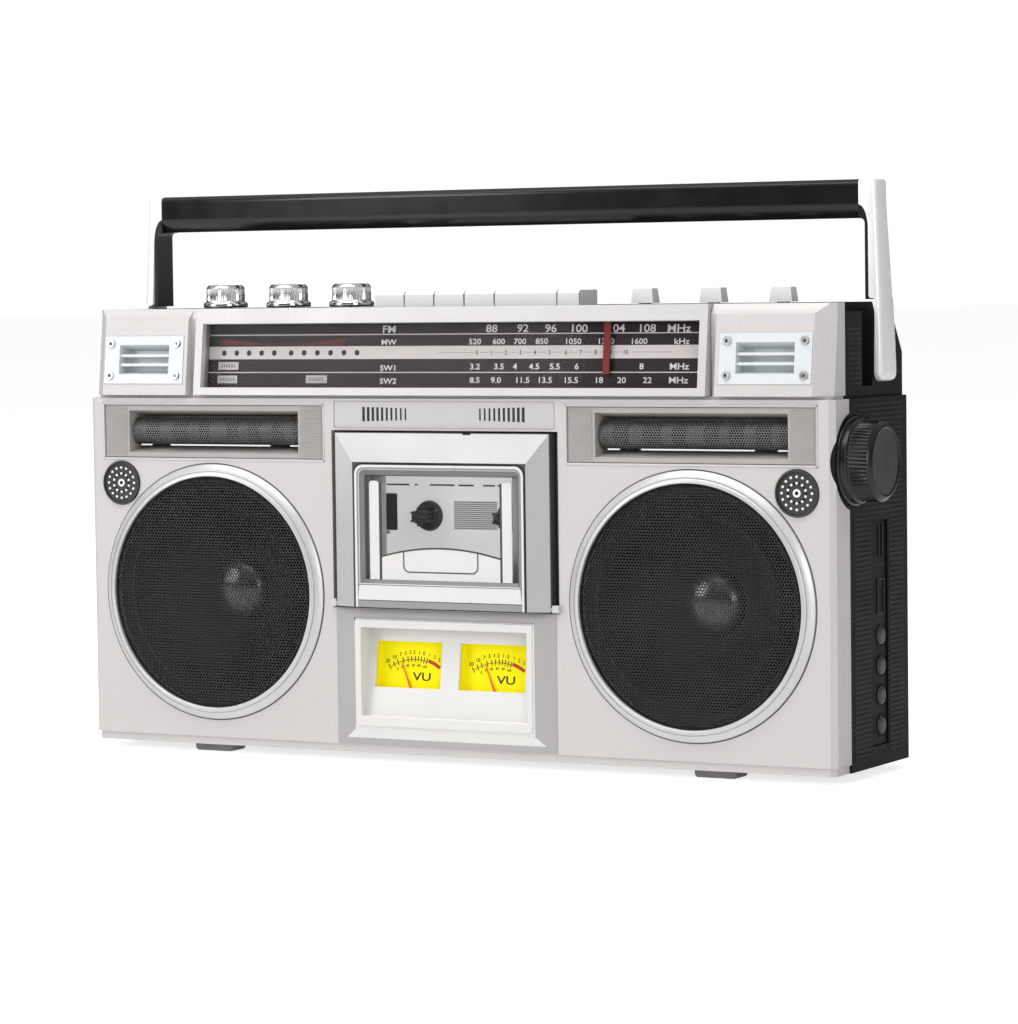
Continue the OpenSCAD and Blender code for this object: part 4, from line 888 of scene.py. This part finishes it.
for nm, hx in (("supply", -21.25), ("take_up", 21.25)):
    g = Geo()
    M = axis_y(hx, 0, 107.6)
    g.lathe([(0, -32.9), (8.9, -32.9), (8.9, -30), (4.5, -30), (4.5, -24.6), (6.9, -24.5), (7.1, -24.0), (6.4, -22.0), (5.6, -21.4), (3.4, -21.0), (3.1, -20.6), (3.1, -12.9), (2.6, -12.4), (1.9, -11.2), (1.2, -10.7), (0, -10.6)], 48, 0, M)
    for a in (0, 60, 120, 180, 240, 300):
        g.box(-0.55, 0.55, 13.2, 23.2, 2.9, 4.35, 0, Matrix.Translation((hx, 0, 107.6)) @ Matrix.Rotation(rad(a), 4, "Y"), 0.2)
    g.box(-5.5, 5.5, 21.3, 21.9, -0.4, 0.4, 1, Matrix.Translation((hx, 0, 110.2)), 0.15)
    ob = g.make(nm + "_spindle", nm, [MAT["hub"], MAT["steel"]])
    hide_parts(nm + "_hub")

# ---- level meters
g = Geo()
for cx in (-21.9, 21.9):
    Y = 4.93
    g.quad(cx - 17.5, cx + 17.5, 10.4, 34.6, Y, 0, VU)
    g.text("VU", cx + 4.6, 16.9, 3.7, Y - 0.04, 1, VU, 1.4)

    def pol(r, a, cx=cx):
        a = a * 0.76
        return (cx + 0.5 + r * math.sin(rad(a)), 2.9 + r * math.cos(rad(a)))
    R0 = 23.4
    for k in range(44):
        a, b = -44 + 2 * k, -42 + 2 * k
        red = a >= 22
        r0, r1 = (R0 - 0.1, R0 + 1.5) if red else (R0, R0 + 0.28)
        (xa, za), (xb, zb), (xc, zc), (xd, zd) = pol(r0, a), pol(r0, b), pol(r1, b), pol(r1, a)
        if max(xa, xb, xc, xd) < cx + 16.3:
            g.add([(xa, Y - 0.05, za), (xb, Y - 0.05, zb), (xc, Y - 0.05, zc), (xd, Y - 0.05, zd)], [(0, 1, 2, 3)], 2 if red else 1, VU)
    for k, a in enumerate((-44, -36, -29, -20, -12, -6, 0, 5, 10, 15, 20)):
        for r0, r1, w in ((R0 + 0.2, R0 + 1.7, 0.5), (R0 - 1.1, R0, 0.4)):
            (xa, za), (xb, zb) = pol(r0, a), pol(r1, a)
            wx, wz = math.cos(rad(a)) * w / 2, -math.sin(rad(a)) * w / 2
            g.add([(xa - wx, Y - 0.05, za - wz), (xa + wx, Y - 0.05, za + wz), (xb + wx, Y - 0.05, zb + wz), (xb - wx, Y - 0.05, zb - wz)], [(0, 1, 2, 3)], 1, VU)
    for s_, a in (("20", -44), ("10", -33), ("7", -23), ("5", -15), ("3", -8), ("2", -2), ("1", 6), ("0", 13)):
        x_, z_ = pol(R0 + 2.6, a)
        g.text(s_, x_, z_, 1.7, Y - 0.05, 3, VU, 1.0)
    for s_, a in (("1", 22), ("2", 30), ("3", 38)):
        x_, z_ = pol(R0 + 2.8, a)
        g.text(s_, x_, z_, 1.7, Y - 0.05, 2, VU, 1.0)
    for s_, a in (("0", -34), ("20", -24), ("40", -14), ("60", -3), ("80", 8), ("100", 19)):
        x_, z_ = pol(R0 - 3.0, a)
        g.text(s_, x_, z_, 1.2, Y - 0.05, 3, VU, 1.0)
g.make("meter_print", "case", [MAT["yellow"], MAT["ink"], MAT["redink"], MAT["dial"]], recalc=False)
for nm, cx in (("left", -21.9), ("right", 21.9)):
    g = Geo()
    Q = VU @ Matrix.Translation((cx, 0, 11.8)) @ Matrix.Rotation(rad(-25), 4, "Y")
    g.add([(-0.5, 4.1, 0), (0.5, 4.1, 0), (0.12, 4.1, 14.4), (-0.12, 4.1, 14.4), (-0.5, 4.45, 0), (0.5, 4.45, 0), (0.12, 4.45, 14.4), (-0.12, 4.45, 14.4)], [(0, 1, 2, 3), (7, 6, 5, 4), (0, 4, 5, 1), (1, 5, 6, 2), (2, 6, 7, 3), (3, 7, 4, 0)], 0, Q)
    g.lathe([(0, 0.2), (0.6, 0.2), (0.8, 0.0), (0.8, -0.5), (0, -0.5)], 20, 0, Q @ axis_y(0, 4.1, 0))
    ob = g.make("meter_hand_" + nm, "meter_needle_" + nm, MAT["orange"])
    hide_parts("vu_needle_" + nm)

# ---- meter frame
g = Geo()
O = [(-57, 4), (57, 4), (57, 66), (-57, 66)]


def ring4(x0, x1, z0, z1, y):
    return [(x0, y, z0), (x1, y, z0), (x1, y, z1), (x0, y, z1)]


# The outer bevel uses a darker grey than the silver paint: painted shade.
g.loft([ring4(-57, 57, 4, 66, 0.02), ring4(-57, 57, 4, 66, -0.25), ring4(-56.6, 56.6, 4.4, 65.6, -0.4), ring4(-46.7, 46.7, 11.5, 62.3, -1.95), ring4(-46.6, 46.6, 11.6, 62.2, -0.6)], 0)


def rr_ring(x0, x1, z0, z1, r, y):
    """Rounded at the bottom corners, nearly square at the top."""
    pts = []
    for cx_, cz_, a0, r_ in ((x1, z1, 0, 0.6), (x0, z1, 90, 0.6), (x0, z0, 180, r), (x1, z0, 270, r)):
        ox = -r_ if cx_ > 0 else r_
        oz = -r_ if cz_ > 40 else r_
        for i in range(7):
            a = rad(a0 + 15 * i)
            pts.append((cx_ + ox + r_ * math.cos(a), y, cz_ + oz + r_ * math.sin(a)))
    return pts


# Dark groove between the outer bevel and the inner frame: painted shade.
g.loft([rr_ring(-46.65, 46.65, 11.5, 62.25, 3.6, -1.95), rr_ring(-46.6, 46.6, 11.55, 62.2, 3.5, -1.0), rr_ring(-45.75, 45.75, 12.5, 61.5, 3.1, -1.05)], 1)
g.loft([rr_ring(-45.75, 45.75, 12.5, 61.5, 3.1, -1.05), rr_ring(-45.65, 45.65, 12.6, 61.4, 3.0, -2.4), rr_ring(-45.4, 45.4, 12.9, 61.3, 2.8, -2.6), rr_ring(-43.3, 43.3, 17.0, 58.1, 0.4, -2.6), rr_ring(-43.0, 43.0, 17.3, 57.8, 0.3, -2.3)], 2)
g.make("meter_frame_rim", "case", [MAT["vu_bevel"], MAT["groove"], MAT["rim2"]], sharp=24)
paint("vu_frame", "rim2")
paint("tweeter_horns", "rib")
# Dark slabs in the slots beside the door: painted shadow in the real gaps.
g = Geo()
for s in (-1, 1):
    xs = sorted((s * 56.0, s * 58.4))
    g.box(xs[0], xs[1], 3.3, 3.85, 71.0, 147.2, 0, None, 0.1)
g.make("door_gap_painted_shadow", "case", MAT["gap"])

for n_, w_ in (("front_shell", 0.35), ("rear_housing", 0.6), ("dial_bezel", 0.3), ("vent_plates", 0.25), ("battery_cover", 0.4), ("record_key", 0.35), ("play_key", 0.35), ("rewind_key", 0.35),
               ("forward_key", 0.35), ("stop_key", 0.35), ("pause_key", 0.35), ("function_slider", 0.4), ("band_slider", 0.4), ("mode_slider", 0.4), ("rubber_feet", 0.5), ("vu_frame", 0.2), ("ac_inlet", 0.3)):
    soften(n_, w_)

# ------------------------------------------------------------------ stage
def build_stage():
    g = bpy.data.meshes.new("floor")
    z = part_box("rubber_feet")[0].z - 0.0002
    g.from_pydata([(-30, -30, z), (30, -30, z), (30, 30, z), (-30, 30, z)], [], [(0, 1, 2, 3)])
    fl = bpy.data.objects.new("floor", g)
    bpy.context.scene.collection.objects.link(fl)
    m, nt, bs = new_mat("pale_floor")
    co = nt.nodes.new("ShaderNodeTexCoord")
    nz = nt.nodes.new("ShaderNodeTexNoise")
    nz.inputs["Scale"].default_value = 3
    rp = nt.nodes.new("ShaderNodeValToRGB")
    rp.color_ramp.elements[0].color = (0.80, 0.80, 0.80, 1)
    rp.color_ramp.elements[1].color = (0.84, 0.84, 0.84, 1)
    nt.links.new(co.outputs["Object"], nz.inputs["Vector"])
    nt.links.new(nz.outputs["Fac"], rp.inputs["Fac"])
    nt.links.new(rp.outputs["Color"], bs.inputs["Base Color"])
    bs.inputs["Roughness"].default_value = 0.22
    bs.inputs["Specular IOR Level"].default_value = 0.35
    bs.inputs["Emission Color"].default_value = (1, 1, 1, 1)
    bs.inputs["Emission Strength"].default_value = 0.20
    lp = nt.nodes.new("ShaderNodeLightPath")
    em, ad = nt.nodes.new("ShaderNodeEmission"), nt.nodes.new("ShaderNodeAddShader")
    ml = nt.nodes.new("ShaderNodeMath")
    ml.operation = "MULTIPLY"
    ml.inputs[1].default_value = 0.56
    out = [n for n in nt.nodes if n.type == "OUTPUT_MATERIAL"][0]
    nt.links.new(lp.outputs["Is Camera Ray"], ml.inputs[0])
    nt.links.new(ml.outputs[0], em.inputs["Strength"])
    nt.links.new(bs.outputs[0], ad.inputs[0])
    nt.links.new(em.outputs[0], ad.inputs[1])
    nt.links.new(ad.outputs[0], out.inputs["Surface"])
    g.materials.append(m)
    w = bpy.data.worlds.new("studio")
    w.use_nodes = True
    nt = w.node_tree
    nt.nodes.clear()
    out = nt.nodes.new("ShaderNodeOutputWorld")
    light, seen = nt.nodes.new("ShaderNodeBackground"), nt.nodes.new("ShaderNodeBackground")
    wc = nt.nodes.new("ShaderNodeTexCoord")
    sp = nt.nodes.new("ShaderNodeSeparateXYZ")
    sky = nt.nodes.new("ShaderNodeValToRGB")
    cr = sky.color_ramp
    cr.elements[0].position, cr.elements[0].color = 0.0, (0.55, 0.55, 0.55, 1)
    cr.elements[1].position, cr.elements[1].color = 1.0, (1.0, 1.0, 1.0, 1)
    for pos, v in ((0.44, 0.45), (0.49, 0.16), (0.56, 0.12), (0.66, 0.28), (0.80, 0.9)):
        e = cr.elements.new(pos)
        e.color = (v, v, v, 1)
    half = nt.nodes.new("ShaderNodeMapRange")
    half.inputs["From Min"].default_value, half.inputs["From Max"].default_value = -1.0, 1.0
    nt.links.new(wc.outputs["Generated"], sp.inputs[0])
    nt.links.new(sp.outputs["Z"], half.inputs["Value"])
    nt.links.new(half.outputs["Result"], sky.inputs["Fac"])
    nt.links.new(sky.outputs["Color"], light.inputs["Color"])
    light.inputs["Strength"].default_value = 0.52
    seen.inputs["Color"].default_value = (1, 1, 1, 1)
    seen.inputs["Strength"].default_value = 1.05
    lp, mx = nt.nodes.new("ShaderNodeLightPath"), nt.nodes.new("ShaderNodeMixShader")
    nt.links.new(lp.outputs["Is Camera Ray"], mx.inputs[0])
    nt.links.new(light.outputs[0], mx.inputs[1])
    nt.links.new(seen.outputs[0], mx.inputs[2])
    nt.links.new(mx.outputs[0], out.inputs["Surface"])
    bpy.context.scene.world = w


def softbox(name, loc, aim, w, h, power, col=(1, 1, 1)):
    d = bpy.data.lights.new(name, "AREA")
    d.shape, d.size, d.size_y, d.energy, d.color = "RECTANGLE", w, h, power, col
    o = bpy.data.objects.new(name, d)
    bpy.context.scene.collection.objects.link(o)
    o.location = loc
    o.rotation_euler = (Vector(aim) - Vector(loc)).to_track_quat("-Z", "Y").to_euler()
    return o


build_stage()
softbox("key_top", (-0.3, -0.9, 2.4), (0, 0, 0.1), 2.6, 1.6, 46)
softbox("front_left", (-1.9, -2.3, 1.2), (0, 0, 0.12), 1.4, 1.6, 30)
softbox("front_right", (2.6, -2.2, 0.9), (0, 0, 0.12), 1.2, 1.4, 25)

cam = bpy.data.cameras.new("camera")
cam.lens, cam.sensor_width, cam.sensor_fit = 136.45, 36.0, "AUTO"
cam.clip_start, cam.clip_end = 0.05, 100
co = bpy.data.objects.new("camera", cam)
bpy.context.scene.collection.objects.link(co)
right, up, back = Vector((0.87687, 0.48056, -0.01267)), Vector((-0.01683, 0.05702, 0.99822)), Vector((0.48044, -0.87510, 0.05809))
R = Matrix((right, up, back)).transposed().to_4x4()
co.matrix_world = Matrix.Translation(Vector((OX, OY, OZ)) + Vector((0.86625, -1.51662, 0.21228))) @ R
bpy.context.scene.camera = co
bpy.context.scene.view_settings.view_transform = "Standard"
